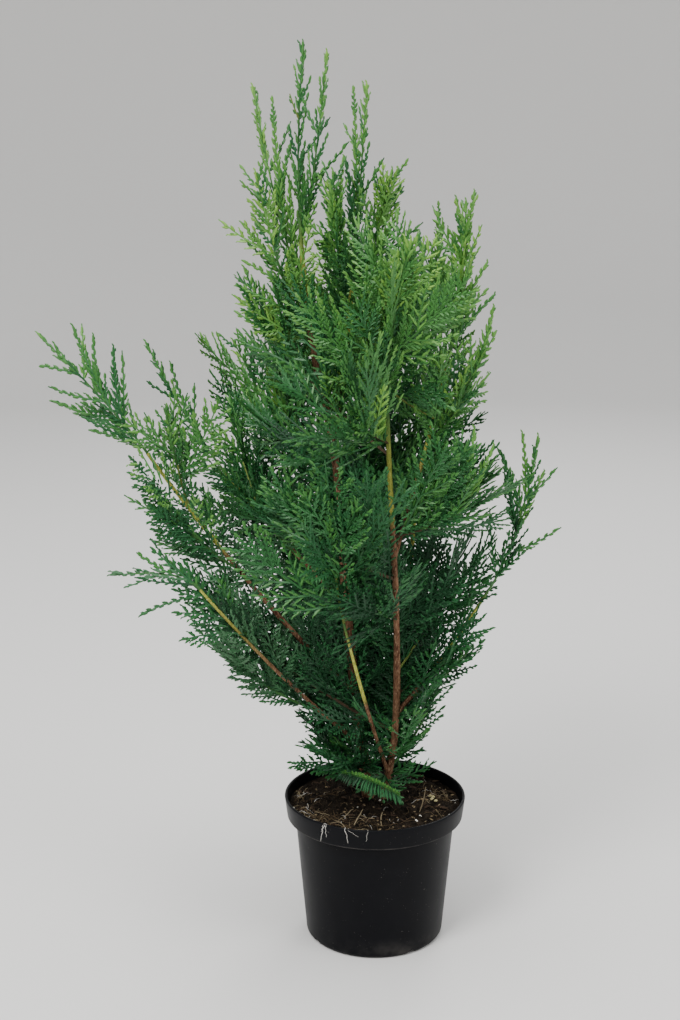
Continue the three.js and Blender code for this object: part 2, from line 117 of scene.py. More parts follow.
pot = draw_up("pot_shell", pot_outline)
cutters = []
for i in range(notch_count):
    turn = notch_turn + i * 2 * math.pi / notch_count
    place = (foot_radius * math.cos(turn), foot_radius * math.sin(turn), 0)
    bpy.ops.object.select_all(action="DESELECT")
    bpy.ops.mesh.primitive_cylinder_add(vertices=notch_sides, radius=notch_width / 2, depth=notch_length,
                                        location=place, rotation=(0, math.pi / 2, turn))
    cutter = bpy.context.object
    bpy.ops.object.transform_apply(location=True, rotation=True)
    for vertex in cutter.data.vertices:
        vertex.co.z *= 2 * notch_height / notch_width
    cutters.append(cutter)
for cutter in cutters:
    cut = pot.modifiers.new("drain_notch", "BOOLEAN")
    cut.operation = "DIFFERENCE"
    cut.object = cutter
    bpy.ops.object.select_all(action="DESELECT")
    bpy.context.view_layer.objects.active = pot
    bpy.ops.object.modifier_apply(modifier=cut.name)
    bpy.data.objects.remove(cutter)


def smooth(piece, angle=35):
    bpy.ops.object.select_all(action="DESELECT")
    piece.select_set(True)
    bpy.context.view_layer.objects.active = piece
    bpy.ops.object.shade_smooth_by_angle(angle=angle * degree)


class Wire:
    """A node's output, used in sums as a number is"""

    def __init__(self, finish, socket):
        self.finish = finish
        self.socket = socket

    def sum(self, operation, *values):
        return self.finish.node("Math", {"operation": operation}, dict(enumerate(values)))

    def __add__(self, other):
        return self.sum("ADD", self, other)

    def __sub__(self, other):
        return self.sum("SUBTRACT", self, other)

    def __mul__(self, other):
        return self.sum("MULTIPLY", self, other)

    def __rsub__(self, other):
        return self.sum("SUBTRACT", other, self)

    def clear(self, low, high):
        """0 below low and 1 above high, or the other way where low is the greater"""
        values = {"Value": self, "From Min": low, "From Max": high}
        return self.finish.node("MapRange", {"interpolation_type": "SMOOTHSTEP"}, values)


class Finish:
    """A material in the making, round its one shader"""

    def __init__(self, name, **settings):
        self.material = bpy.data.materials.new(name)
        self.material.use_nodes = True
        self.nodes = self.material.node_tree.nodes
        self.shader = self.nodes["Principled BSDF"]
        for socket, value in settings.items():
            self.feed(socket.replace("_", " "), value)

    def link(self, socket, value):
        if isinstance(value, Wire):
            self.material.node_tree.links.new(value.socket, socket)
        else:
            socket.default_value = value

    def node(self, kind, settings={}, values={}, out=0):
        made = self.nodes.new("ShaderNode" + kind)
        for name, value in settings.items():
            setattr(made, name, value)
        for name, value in values.items():
            self.link(made.inputs[name], value)
        return Wire(self, made.outputs[out])

    def feed(self, socket, value):
        self.link(self.shader.inputs[socket], value)

    def place(self, stretch=(1, 1, 1)):
        """The piece's own coordinates, in metres, stretched"""
        own = self.node("TexCoord", out="Object")
        return self.node("Mapping", {}, {"Vector": own, "Scale": stretch})

    def noise(self, place, size, detail=3, roughness=0.5):
        values = {"Vector": place, "Scale": 1 / size, "Detail": detail, "Roughness": roughness}
        return self.node("TexNoise", {}, values)

    def mix(self, part, first, second):
        return self.node("Mix", {"data_type": "RGBA"}, {0: part, 6: first, 7: second}, out=2)

    def bump(self, height, distance, strength=1.0):
        values = {"Height": height, "Distance": distance, "Strength": strength}
        self.feed("Normal", self.node("Bump", {}, values))


black_plastic = Finish("black_plastic", Specular_IOR_Level=0.08)
own = black_plastic.place()
height = black_plastic.node("SeparateXYZ", {}, {"Vector": own}, out="Z")
cloud = black_plastic.noise(own, 0.03, 4, 0.6)
speck = black_plastic.noise(own, 0.0022, 2).clear(0.68, 0.74)
speck = speck * black_plastic.noise(own, 0.02, 2).clear(0.45, 0.62)
edge_dust = (1 - (height - collar_foot).clear(0.0004, 0.002)) * height.clear(collar_foot - 0.001, collar_foot)
foot_dust = 1 - height.clear(0.004, 0.03)
dust = edge_dust * cloud.clear(0.35, 0.7) * 0.5 + speck * 0.5 + foot_dust * cloud.clear(0.4, 0.8) * 0.25
black = black_plastic.mix(cloud, (0.0024, 0.0026, 0.0034, 1), (0.0046, 0.0049, 0.0064, 1))
black_plastic.feed("Base Color", black_plastic.mix(dust, black, (0.12, 0.11, 0.10, 1)))
black_plastic.feed("Roughness", cloud * 0.2 + 0.30 + dust * 0.3)
black_plastic.bump(black_plastic.noise(own, 0.0012, 3, 0.6), 0.00004, 0.6)
pot.data.materials.append(black_plastic.material)
smooth(pot)
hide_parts("pot")
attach(pot, "root")


# Compost
# Dark peat and bark compost fills the pot to just under its rim. Its top is crumbly, and it
# bears bark chips, fibres, straws, a few white grains and fine roots that hang over the rim.
soil_level = 0.168
clearance = 0.0003
lump_height, lump_length = 0.0022, 0.09
clod_height, clod_length = 0.0026, 0.009
crumb_height, crumb_length = 0.0016, 0.0032
level_round_foot, level_fades_over, bare_round_foot = 0.014, 0.02, 0.011
soil_edge = collar_foot_radius - wall - clearance
stem_feet = [Vector((-0.006, 0.022)), Vector((0.010, 0.016))]
top_rings = 46
compost_outline = [
    (foot_radius - 3 * wall - foot_rounding, wall + clearance),
    (foot_radius - wall - 2 * clearance, foot_rounding),
    (body_top_radius - wall - clearance, collar_foot + wall + clearance),
    (soil_edge, collar_foot + wall + clearance),
    *[(soil_edge * (top_rings - i) / top_rings, soil_level) for i in range(top_rings)],
]


def from_stems(x, y):
    return min((Vector((x, y)) - foot).length for foot in stem_feet)


def soil_lump(x, y):
    """How far the compost's top lies above its level: not at all round the stems' feet"""
    free = min(max((from_stems(x, y) - level_round_foot) / level_fades_over, 0), 1)
    wave = 2 * math.pi / lump_length
    lump = 0.6 * math.sin(x * wave) * math.cos(y * wave) + 0.4 * math.sin((x - y) * 2 * wave)
    return lump_height * free * lump


def crumble(x, y):
    clod = noise.noise(Vector((x, y, 0.3)) / clod_length)
    crumb = noise.noise(Vector((x, y, 0.7)) / crumb_length)
    return clod_height * clod + crumb_height * crumb


compost = draw_up("compost_fill", compost_outline)
for vertex in compost.data.vertices:
    x, y, z = vertex.co
    if z > soil_level - 0.001 and math.hypot(x, y) < soil_edge - 0.0005:
        vertex.co.z += soil_lump(x, y) + crumble(x, y)

peat = Finish("peat", Roughness=0.95, Specular_IOR_Level=0.06)
own = peat.place()
clod = peat.noise(own, 0.011, 5, 0.65)
crumb = peat.noise(own, 0.0016, 4, 0.7)
dark = peat.mix(clod.clear(0.35, 0.65), (0.0045, 0.0037, 0.0030, 1), (0.017, 0.0125, 0.0085, 1))
peat.feed("Base Color", peat.mix(crumb.clear(0.56, 0.74), dark, (0.070, 0.053, 0.034, 1)))
peat.bump(crumb + clod, 0.0012, 0.9)
compost.data.materials.append(peat.material)
smooth(compost, 60)
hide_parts("compost")
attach(compost, "root")


def dice(seed):
    """Even chances from -width to width, the same on every run"""
    state = seed * 7919 + 12345

    def roll():
        nonlocal state
        state = state * 48271 % 2147483647
        return state / 2147483647

    for _ in range(3):
        roll()
    return lambda width=1.0: (2 * roll() - 1) * width


def joined(name, points, faces, finish, flat=True):
    """One mesh piece from an array of points and one of three-cornered faces"""
    mesh = bpy.data.meshes.new(name)
    mesh.vertices.add(len(points))
    mesh.vertices.foreach_set("co", np.asarray(points, np.float32).ravel())
    mesh.loops.add(3 * len(faces))
    mesh.loops.foreach_set("vertex_index", np.asarray(faces, np.int32).ravel())
    mesh.polygons.add(len(faces))
    mesh.polygons.foreach_set("loop_start", np.arange(0, 3 * len(faces), 3, dtype=np.int32))
    mesh.polygons.foreach_set("use_smooth", np.full(len(faces), not flat))
    mesh.update(calc_edges=True)
    mesh.materials.append(finish.material)
    piece = bpy.data.objects.new(name, mesh)
    bpy.context.scene.collection.objects.link(piece)
    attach(piece, "root")
    return piece


def strands(lines, radii, sides=3):
    """Points and faces of thin rods. Each line is a row of points, and each has as many."""
    lines = np.asarray(lines, float)
    radii = np.asarray(radii, float)
    count, steps, _ = lines.shape
    along = np.gradient(lines, axis=1)
    along /= np.linalg.norm(along, axis=2, keepdims=True)
    aside = np.where(np.abs(along[:, :1, 1:2]) < 0.8, [[[0.0, -1.0, 0.0]]], [[[1.0, 0.0, 0.0]]])
    right = np.cross(along, np.broadcast_to(aside, along.shape))
    right /= np.linalg.norm(right, axis=2, keepdims=True)
    front = np.cross(right, along)
    turn = np.arange(sides) * 2 * math.pi / sides
    ring = right[:, :, None] * np.cos(turn)[:, None] + front[:, :, None] * np.sin(turn)[:, None]
    points = (lines[:, :, None] + ring * radii[:, :, None, None]).reshape(count, -1, 3)
    faces = []
    for i in range(steps - 1):
        for j in range(sides):
            a, b = i * sides + j, i * sides + (j + 1) % sides
            faces += [(a, a + sides, b), (b, a + sides, b + sides)]
    last = (steps - 1) * sides
    faces += [(0, j, j + 1) for j in range(1, sides - 1)]
    faces += [(last, last + j + 1, last + j) for j in range(1, sides - 1)]
    own_faces = np.asarray(faces)
    shift = np.arange(count)[:, None, None] * steps * sides
    return points.reshape(-1, 3), (own_faces[None] + shift).reshape(-1, 3)


def plain(name, color, roughness, gloss=0.15):
    return Finish(name, Base_Color=(*color, 1), Roughness=roughness, Specular_IOR_Level=gloss)


litter = dice(901)
grain_points = np.array([(1, 0, 0), (0, 1, 0), (-1, 0, 0), (0, -1, 0), (0, 0, 1), (0, 0, -1)], float)
grain_faces = np.array([
    (0, 1, 4), (1, 2, 4), (2, 3, 4), (3, 0, 4), (1, 0, 5), (2, 1, 5), (3, 2, 5), (0, 3, 5),
])
# Where straws and fine roots lie thickest: east, north and spread
heaps = [
    (-0.099, 0.020, 0.012), (-0.092, -0.020, 0.016), (-0.078, -0.048, 0.020), (-0.056, -0.064, 0.018),
    (-0.026, -0.060, 0.022), (0.010, -0.062, 0.026), (0.070, 0.024, 0.016), (0.088, 0.020, 0.014),
]


def soil_top(x, y):
    return soil_level + soil_lump(x, y) + crumble(x, y)


def on_soil(edge=0.104, heap=None):
    """A place on the compost, out to its edge, clear of the stems' feet"""
    while True:
        x, y = litter(edge), litter(edge)
        if heap:
            x, y = heap[0] + litter(heap[2]), heap[1] + litter(heap[2])
        if math.hypot(x, y) < edge and from_stems(x, y) > bare_round_foot:
            return x, y


def grains(name, count, size, stretch, finish, seen=()):
    """Small uneven lumps strewn over the compost, half sunk in it, the first few at given places"""
    points = []
    for k in range(count):
        x, y = seen[k] if k < len(seen) else on_soil()
        scale = size * (1 + litter(0.5))
        shape = grain_points * [scale * (1 + litter(0.3)) * stretch, scale * (1 + litter(0.3)), scale * 0.7]
        angle = litter(math.pi)
        cosine, sine = math.cos(angle), math.sin(angle)
        spun = shape @ np.array([(cosine, sine, 0), (-sine, cosine, 0), (0, 0, 1)])
        spun[:, 2] += spun[:, 0] * litter(0.6)
        points.append(spun + [x, y, soil_top(x, y) + scale * 0.2])
    faces = [grain_faces + 6 * i for i in range(count)]
    joined(name, np.concatenate(points), np.concatenate(faces), finish)


fibre_start, fibre_edge, fibre_arch = 0.099, 0.105, 0.003
fibre_steps = 6


def fibres(name, count, length, radius, finish, heaped):
    """Thin curling straws and roots on the compost, a share of them heaped"""
    lines, radii = [], []
    for k in range(count):
        x, y = on_soil(fibre_start, heaps[k % len(heaps)] if abs(litter()) < heaped else None)
        turn, curl = litter(math.pi), litter(1.6)
        step = length * (1 + litter(0.6)) / fibre_steps
        arch = abs(litter(fibre_arch))
        line = []
        for i in range(fibre_steps + 1):
            away = max(math.hypot(x, y) / fibre_edge, 1)
            x, y = x / away, y / away
            line.append((x, y, soil_top(x, y) + 0.6 * radius + arch * math.sin(math.pi * i / fibre_steps)))
            x, y = x + step * math.cos(turn), y + step * math.sin(turn)
            turn += curl / fibre_steps + litter(0.35)
        lines.append(line)
        radii.append([radius * size for size in (0.5, 0.9, 1, 1, 0.9, 0.7, 0.4)])
    joined(name, *strands(lines, radii), finish)


ochre = plain("straw_ochre", (0.22, 0.175, 0.105), 0.8)
pale_root = plain("pale_root", (0.52, 0.50, 0.46), 0.8)
# Where white grains and a lump of chaff show: east and north
white_seen = [
    (0.055, -0.046), (0.050, -0.055), (0.063, -0.053), (-0.022, -0.008), (-0.063, 0.023), (-0.081, -0.041),
]
chaff_seen = [(0.072, 0.012), (0.074, 0.016), (0.070, 0.018), (0.077, 0.010), (0.069, 0.023)]
grains("peat_crumbs", 4200, 0.0014, 1.2, peat)
grains("bark_chips", 150, 0.0019, 2.6, plain("chip_brown", (0.034, 0.021, 0.013), 0.9))
grains("pale_chips", 150, 0.0011, 2.4, plain("chip_pale", (0.20, 0.15, 0.085), 0.9))
grains("white_grains", 15, 0.0017, 1.1, plain("perlite", (0.66, 0.63, 0.55), 0.9), white_seen)
grains("chaff_lump", len(chaff_seen), 0.0030, 1.3, plain("chaff", (0.42, 0.37, 0.19), 0.9), chaff_seen)
fibres("brown_fibres", 240, 0.016, 0.00022, plain("fibre_brown", (0.11, 0.075, 0.040), 0.9), 0.6)
fibres("ochre_fibres", 90, 0.016, 0.00026, ochre, 0.85)
fibres("pale_fibres", 30, 0.013, 0.00024, pale_root, 0.85)

# Straws that show one by one: east and north of both ends, and how far the far end stands up
straws_seen = [
    (-0.0435, -0.0505, -0.0270, -0.0292, 0.004), (-0.0265, -0.0661, -0.0155, -0.0368, 0.006),
    (0.0069, -0.0681, 0.0113, -0.0211, 0.002), (-0.0757, -0.0250, -0.0558, -0.0351, 0.001),
    (-0.0557, -0.0583, -0.0375, -0.0755, 0.003), (-0.0865, -0.0380, -0.0703, -0.0555, 0.002),
    (-0.0990, 0.0349, -0.0940, 0.0100, 0.003), (0.0548, -0.0250, 0.0625, -0.0200, 0.029),
]
straw_radii = (0.0006, 0.0007, 0.0007, 0.0006, 0.0004)
straw_lines = []
for x, y, far_x, far_y, rise in straws_seen:
    bow = litter(0.003)
    line = []
    for i in range(len(straw_radii)):
        part = i / (len(straw_radii) - 1)
        side = bow * math.sin(math.pi * part)
        east, north = x + (far_x - x) * part + side, y + (far_y - y) * part + side
        line.append((east, north, soil_top(east, north) + max(straw_radii) + rise * part))
    straw_lines.append(line)
joined("straws", *strands(straw_lines, [straw_radii] * len(straw_lines)), ochre)

# Fine roots hang over the rim at the front: bearing, how far they hang, how far they drift, thickness
rim_roots = [
    (-123.5, 0.021, -0.005, 0.0006), (-122.5, 0.014, 0.001, 0.0005), (-124.2, 0.009, -0.003, 0.0004),
    (-109.8, 0.016, 0.005, 0.0006), (-107.5, 0.007, 0.013, 0.0003), (-95.6, 0.012, -0.001, 0.0004),
]
root_lines, root_radii = [], []
for bearing, hang, drift, thick in rim_roots:
    over = [
        (rim_radius - 0.014, soil_level + 0.001), (rim_radius - 0.007, soil_level + 0.006),
        (rim_radius - lip_width - thick, pot_height - lip), (rim_radius - lip, pot_height + thick),
        *[(rim_radius + thick + 0.0006 * math.sin(2.5 * i), pot_height - lip - hang * i / 5)
          for i in range(6)],
    ]
    line = []
    for i, (radius, height) in enumerate(over):
        swing = max(i - 4, 0) / 5
        turn = bearing * degree + drift * swing ** 0.7 / rim_radius + litter(0.006)
        line.append((radius * math.cos(turn), radius * math.sin(turn), height))
    root_lines.append(line)
    root_radii.append([thick * (1 - 0.06 * i) for i in range(len(over))])
joined("rim_roots", *strands(root_lines, root_radii), pale_root)


# Trunk, second stem and main boughs
# Thin stringy bark, red-brown below and yellow-green on the young wood, runs along each limb.
# Each is a round bar with ridges that is bent along its own line, as in the CAD source.
class Bow:
    """A curve bent by one middle point"""

    def __init__(self, start, middle, tip):
        self.ends = start, middle, tip

    def point(self, t):
        start, middle, tip = self.ends
        return start * (1 - t) ** 2 + middle * 2 * t * (1 - t) + tip * t * t

    def way(self, t):
        start, middle, tip = self.ends
        return ((middle - start) * (1 - t) + (tip - middle) * t).normalized()


class Spline:
    """A smooth curve through points at even steps"""

    def __init__(self, points):
        self.points = points

    def point(self, t):
        points = self.points
        last = len(points) - 1
        i = min(int(t * last), last - 1)
        part = t * last - i
        p1, p2 = points[i], points[i + 1]
        p0 = points[i - 1] if i else p1 * 2 - p2
        p3 = points[i + 2] if i + 2 <= last else p2 * 2 - p1
        m1, m2 = (p2 - p0) / 2, (p3 - p1) / 2
        a = p1 * 2 - p2 * 2 + m1 + m2
        b = p2 * 3 - p1 * 3 - m1 * 2 - m2
        return ((a * part + b) * part + m1) * part + p1

    def way(self, t):
        step = 1e-4
        return (self.point(min(t + step, 1)) - self.point(max(t - step, 0))).normalized()


def at_height(curve, height):
    """Where a rising curve reaches a height, by halving"""
    low, high = 0.0, 1.0
    while high - low > 1e-9:
        middle = (low + high) / 2
        if curve.point(middle).z < height:
            low = middle
        else:
            high = middle
    return curve.point(low)


def bent(start, tip, bend):
    return Bow(start, Vector(side * share for side, share in zip(tip - start, bend)) + start, tip)


def offset_of(bearing, reach, rise):
    return Vector((reach * math.cos(bearing * degree), reach * math.sin(bearing * degree), rise))


stems = {
    "trunk": dict(
        foot=0.0072, tip=0.0022, young=(0.76, 0.84),
        height=(0.160, 0.300, 0.420, 0.520, 0.620, 0.740, 0.830, 0.890),
        east=(-0.006, -0.024, -0.036, -0.042, -0.052, -0.076, -0.086, -0.090),
        north=(0.022, 0.028, 0.030, 0.028, 0.020, 0.014, 0.010, 0.008)),
    "front_stem": dict(
        foot=0.0048, tip=0.0024, young=(0.66, 0.72),
        height=(0.160, 0.260, 0.380, 0.500, 0.600, 0.680),
        east=(0.010, 0.024, 0.025, 0.020, 0.014, 0.010),
        north=(0.016, -0.004, -0.028, -0.048, -0.062, -0.074)),
}
bough_bend = (0.53, 0.53, 0.45)
bough_taper = 0.56
# on, at, bearing, reach, rise, foot, young from, young to
boughs = {
    "bough_left_long": ("trunk", 0.300, 203, 0.260, 0.330, 0.0034, 0.61, 0.68),
    "bough_left_low": ("trunk", 0.235, 213, 0.225, 0.240, 0.0028, 0.50, 1.05),
    "bough_left_upper": ("trunk", 0.420, 174, 0.155, 0.170, 0.0032, 0.5, 0.8),
    "bough_leader": ("trunk", 0.605, 19, 0.025, 0.245, 0.0038, 0.4, 0.7),
    "bough_rear_left": ("trunk", 0.300, 125, 0.150, 0.260, 0.0036, 0.5, 0.8),
    "bough_rear": ("trunk", 0.380, 73, 0.145, 0.260, 0.0034, 0.5, 0.8),
    "bough_front_shoot": ("front_stem", 0.205, 242, 0.120, 0.230, 0.0027, 0.50, 0.58),
    "bough_right_low": ("front_stem", 0.290, 13, 0.115, 0.150, 0.0030, 0.3, 0.6),
    "bough_right_high": ("front_stem", 0.500, 30, 0.075, 0.240, 0.0029, 0.3, 0.6),
    "bough_rear_right": ("front_stem", 0.235, 68, 0.090, 0.365, 0.0040, 0.5, 0.8),
}

limbs = {}
for name, stem in stems.items():
    curve = Spline([Vector(place) for place in zip(stem["east"], stem["north"], stem["height"])])
    limbs[name] = dict(curve=curve, foot=stem["foot"], tip=stem["tip"], young=stem["young"], flare=0.3)
for name, (on, at, bearing, reach, rise, foot, *young) in boughs.items():
    start = at_height(limbs[on]["curve"], at)
    curve = bent(start, offset_of(bearing, reach, rise) + start, bough_bend)
    limbs[name] = dict(curve=curve, foot=foot, tip=foot * bough_taper, young=young, flare=0.5)

bark = Finish("bark", Specular_IOR_Level=0.15)
own = bark.place((1, 1, 0.14))
strip = bark.noise(own, 0.0011, 4, 0.65)
patch = bark.noise(bark.place((1, 1, 0.5)), 0.012, 3, 0.6)
brown = bark.mix(patch.clear(0.35, 0.65), (0.084, 0.034, 0.018, 1), (0.215, 0.108, 0.058, 1))
brown = bark.mix(strip.clear(0.50, 0.66), brown, (0.33, 0.21, 0.125, 1))
brown = bark.mix(strip.clear(0.44, 0.34), brown, (0.028, 0.013, 0.008, 1))
yellow = bark.mix(strip.clear(0.4, 0.6), (0.25, 0.28, 0.045, 1), (0.48, 0.48, 0.10, 1))
yellow = bark.mix(patch.clear(0.58, 0.72) * 0.5, yellow, (0.25, 0.14, 0.05, 1))
young = bark.node("Attribute", {"attribute_name": "young"}, out="Fac")
light = bark.mix(young.clear(1, 2), yellow, (0.055, 0.135, 0.036, 1))
bark.feed("Base Color", bark.mix(young.clear(0, 1), brown, light))
bark.feed("Roughness", 0.78 - young * 0.1)
bark.bump(strip, 0.0010, 1.0)

yellow_tipped = ("bough_left_long", "bough_left_low")
limb_sides = 20
limb_cuts = 11
flare_length = 0.03
green_tip_from = 0.8
# Ridges of bark, coarse then fine: how many go round and along a limb, their height, their shift
ridges = [(1.6, 14, 0.16, 0), (5, 60, 0.10, 9)]


def limb_piece(name, limb):
    """A cylinder cut into rings, then laid along the limb's line with ridges of bark"""
    bpy.ops.object.select_all(action="DESELECT")
    bpy.ops.mesh.primitive_cylinder_add(vertices=limb_sides, radius=1, depth=1, location=(0, 0, 0.5))
    piece = bpy.context.object
    piece.name = name + "_bark"
    bpy.ops.object.transform_apply(location=True)
    bpy.ops.object.mode_set(mode="EDIT")
    bpy.ops.mesh.select_mode(type="EDGE")
    for _ in range(2):
        bpy.ops.mesh.select_all(action="DESELECT")
        bpy.ops.object.mode_set(mode="OBJECT")
        rows = piece.data.vertices
        for edge in piece.data.edges:
            a, b = (rows[i].co for i in edge.vertices)
            edge.select = abs(a.z - b.z) > 1e-6
        bpy.ops.object.mode_set(mode="EDIT")
        bpy.ops.mesh.subdivide(number_cuts=limb_cuts)
    bpy.ops.object.mode_set(mode="OBJECT")
    curve = limb["curve"]
    whole = curve.point(1) - curve.point(0)
    aside = Vector((0, -1, 0)) if abs(whole.normalized().y) < 0.7 else Vector((1, 0, 0))
    shade = piece.data.attributes.new("young", "FLOAT", "POINT")
    for i, vertex in enumerate(piece.data.vertices):
        x, y, t = vertex.co
        centre, along = curve.point(t), curve.way(t)
        right = along.cross(aside).normalized()
        front = right.cross(along)
        ridge = sum(noise.noise(Vector((turns * x, turns * y, waves * t * whole.length + shift))) * height
                    for turns, waves, height, shift in ridges)
        flare = 1 + limb["flare"] * math.exp(-t / flare_length)
        spread = (limb["foot"] + (limb["tip"] - limb["foot"]) * t) * flare
        place = centre + (right * x + front * y) * spread * (1 + ridge)
        if name in stems:
            place.z = max(place.z, soil_level - 0.002)
        vertex.co = place
        low, high = limb["young"]
        green_tip = 0 if name in yellow_tipped else max(0, (t - green_tip_from) / (1 - green_tip_from))
        shade.data[i].value = min(max((t - low + 0.1 * ridge) / (high - low), 0), 1) + green_tip
    piece.data.materials.append(bark.material)
    smooth(piece, 60)
    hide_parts(name)
    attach(piece, "root")


for name, limb in limbs.items():
    limb_piece(name, limb)


# Foliage
# Thuja foliage is flat fern-like sprays: a twig bears side shoots in one plane, and each shoot
# bears a comb of scaly cords. They grow by the source's rule, and the CAD's blades say where.
habits = {
    "spire": (4, 0.064, 0.18), "shoot": (5, 0.078, 0.23), "fan": (4, 0.092, 0.34), "bush": (4, 0.112, 0.43),
    "branch": (5, 0.128, 0.45), "plume": (4, 0.155, 0.48), "skirt": (4, 0.095, 0.46),
    "inner": (5, 0.180, 0.5),
}
# name, on, at or None for the tip, bearing, reach, rise, habit
placed_masses = [
    ("spire_trunk", "trunk", None, 300, 0.010, 0.190, "spire"),
    ("spire_trunk_side", "trunk", 0.865, 330, 0.035, 0.205, "spire"),
    ("spire_left", "trunk", 0.790, 185, 0.060, 0.245, "shoot"),
    ("spire_left_low", "trunk", 0.725, 210, 0.075, 0.215, "fan"),
    ("spire_leader", "bough_leader", None, 330, 0.015, 0.185, "spire"),
    ("leader_front", "bough_leader", 0.790, 315, 0.065, 0.150, "fan"),
    ("leader_left", "bough_leader", 0.740, 250, 0.045, 0.200, "fan"),
    ("front_crown", "front_stem", None, 305, 0.040, 0.190, "plume"),
    ("far_left_fan", "bough_left_long", None, 185, 0.115, 0.135, "shoot"),
    ("long_upper", "bough_left_long", 0.560, 235, 0.035, 0.120, "bush"),
    ("long_under", "bough_left_long", 0.480, 212, 0.110, 0.115, "fan"),
    ("upper_left_fan", "bough_left_upper", None, 175, 0.085, 0.145, "spire"),
    ("upper_left_side", "bough_left_upper", 0.520, 165, 0.045, 0.150, "fan"),
    ("upper_left_under", "bough_left_upper", 0.480, 215, 0.065, 0.085, "bush"),
    ("low_left_fan", "bough_left_low", None, 185, 0.095, 0.020, "spire"),
    ("low_upper", "bough_left_low", 0.370, 200, 0.060, 0.110, "bush"),
    ("low_under", "bough_left_low", 0.290, 195, 0.135, 0.100, "branch"),
    ("rear_left_fan", "bough_rear_left", None, 150, 0.080, 0.160, "plume"),
    ("rear_fan", "bough_rear", None, 110, 0.040, 0.180, "plume"),
    ("rear_right_fan", "bough_rear_right", None, 25, 0.030, 0.230, "plume"),
    ("right_high_fan", "bough_right_high", None, 0, 0.015, 0.165, "fan"),
    ("right_high_side", "bough_right_high", 0.620, 350, 0.065, 0.120, "bush"),
    ("right_low_fan", "bough_right_low", None, 355, 0.055, 0.190, "shoot"),
    ("right_low_side", "bough_right_low", 0.310, 345, 0.070, 0.065, "bush"),
    ("right_foot", "front_stem", 0.215, 350, 0.060, 0.110, "bush"),
    ("front_fan", "bough_front_shoot", None, 250, 0.045, 0.130, "plume"),
]
# name, height, masses, turn, habit
tiers = [
    ("skirt", 0.250, 3, 140, "skirt"), ("low", 0.345, 3, 100, "inner"), ("waist", 0.450, 4, 15, "inner"),
    ("middle", 0.560, 4, 60, "inner"), ("shoulder", 0.670, 3, 15, "inner"), ("high", 0.790, 3, 60, "inner"),
]
tier_reach = 0.78
tier_steepness = 0.95
tier_stagger = 0.013
lowest_fork = 0.195
fork_below_top = 0.060
side_bend = (0.6, 0.6, 0.38)
straight_part = 0.4
nudges = (0, 8, -8, 16, -16, 24, -24)
crown_heights = (0.190, 0.310, 0.430, 0.590, 0.650, 0.760, 0.900, 0.960, 1.080)
crown_west = (-0.085, -0.130, -0.245, -0.260, -0.210, -0.188, -0.150, -0.115, -0.090)
crown_east = (0.055, 0.080, 0.130, 0.185, 0.130, 0.132, 0.118, 0.020, -0.080)
crown_south = (-0.060, -0.100, -0.150, -0.175, -0.170, -0.140, -0.100, -0.070, -0.010)
crown_north = (0.070, 0.120, 0.165, 0.200, 0.195, 0.170, 0.130, 0.090, 0.010)
first_spray, last_spray, end_spray = 0.06, 0.8, 0.7
spray_lean = 44 * degree
spray_turns = (0, 25, -25, 50, -50)
corner_reach = 0.0005
up = Vector((0, 0, 1))
south = Vector((0, -1, 0))


def crown_slice(height):
    """The crown's middle and half breadths at a height, from west to east and front to back"""
    sides = (crown_west, crown_east, crown_south, crown_north)
    west, east, front, back = (np.interp(height, crown_heights, side) for side in sides)
    return (west + east) / 2, (front + back) / 2, (east - west) / 2, (back - front) / 2


def outward_at(point):
    """How far out in the crown a point lies: 0 in the middle and 1 at its edge"""
    x, y, half_x, half_y = crown_slice(point.z)
    return math.hypot((point.x - x) / half_x, (point.y - y) / half_y)


def placed_stem(on, at, bearing, reach, rise):
    curve = limbs[on]["curve"]
    offset = offset_of(bearing, reach, rise)
    if at:
        start = at_height(curve, at)
        return bent(start, offset + start, side_bend)
    end, along = curve.point(1), curve.way(1)
    start = end + along * clearance
    return Bow(start, start + along * (straight_part * offset.length), offset + end)


def tier_stem(on, height, bearing, stagger):
    curve = limbs[on]["curve"]
    x, y, half_x, half_y = crown_slice(height)
    x += tier_reach * half_x * math.cos(bearing * degree)
    y += tier_reach * half_y * math.sin(bearing * degree)
    level = at_height(curve, height)
    away = math.hypot(x - level.x, y - level.y)
    highest = curve.point(1).z - fork_below_top
    fork = min(max(height - tier_steepness * away, lowest_fork), highest)
    return bent(at_height(curve, fork + stagger), Vector((x, y, height)), side_bend)


def near_points(node):
    """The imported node's own corners, for finding the nearest"""
    corners = [vertex.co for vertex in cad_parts[node].data.vertices]
    tree = KDTree(len(corners))
    for i, corner in enumerate(corners):
        tree.insert(corner, i)
    tree.balance()
    return tree


stem_foot_radius, stem_lost_radius = 0.0020, 0.0010
ring_every = 0.15


def stem_misfit(stem, tree):
    """How far a stem lies from the node's own stem, at the middle one of five rings"""
    parts = [ring_every * k for k in range(1, 6)]
    radii = [stem_foot_radius - stem_lost_radius * part for part in parts]
    return sorted(abs(tree.find(stem.point(part))[2] - radius) for part, radius in zip(parts, radii))[2]


masses = []
for name, on, at, bearing, reach, rise, habit in placed_masses:
    stem = placed_stem(on, at, bearing, reach, rise)
    masses.append(dict(name=name, stem=stem, tree=near_points(name), habit=habit))
for tier, height, count, turn, habit in tiers:
    for i in range(count):
        name = f"{tier}_{i + 1}"
        tree = near_points(name)
        bearing = turn + 360 * i / count
        stagger = tier_stagger * i
        tried = [tier_stem(on, height, bearing + nudge, stagger) for nudge in nudges for on in stems]
        stem = min(tried, key=lambda found: stem_misfit(found, tree))
        masses.append(dict(name=name, stem=stem, tree=tree, habit=habit))


def square_to(way, axis):
    return (way - axis * way.dot(axis)).normalized()


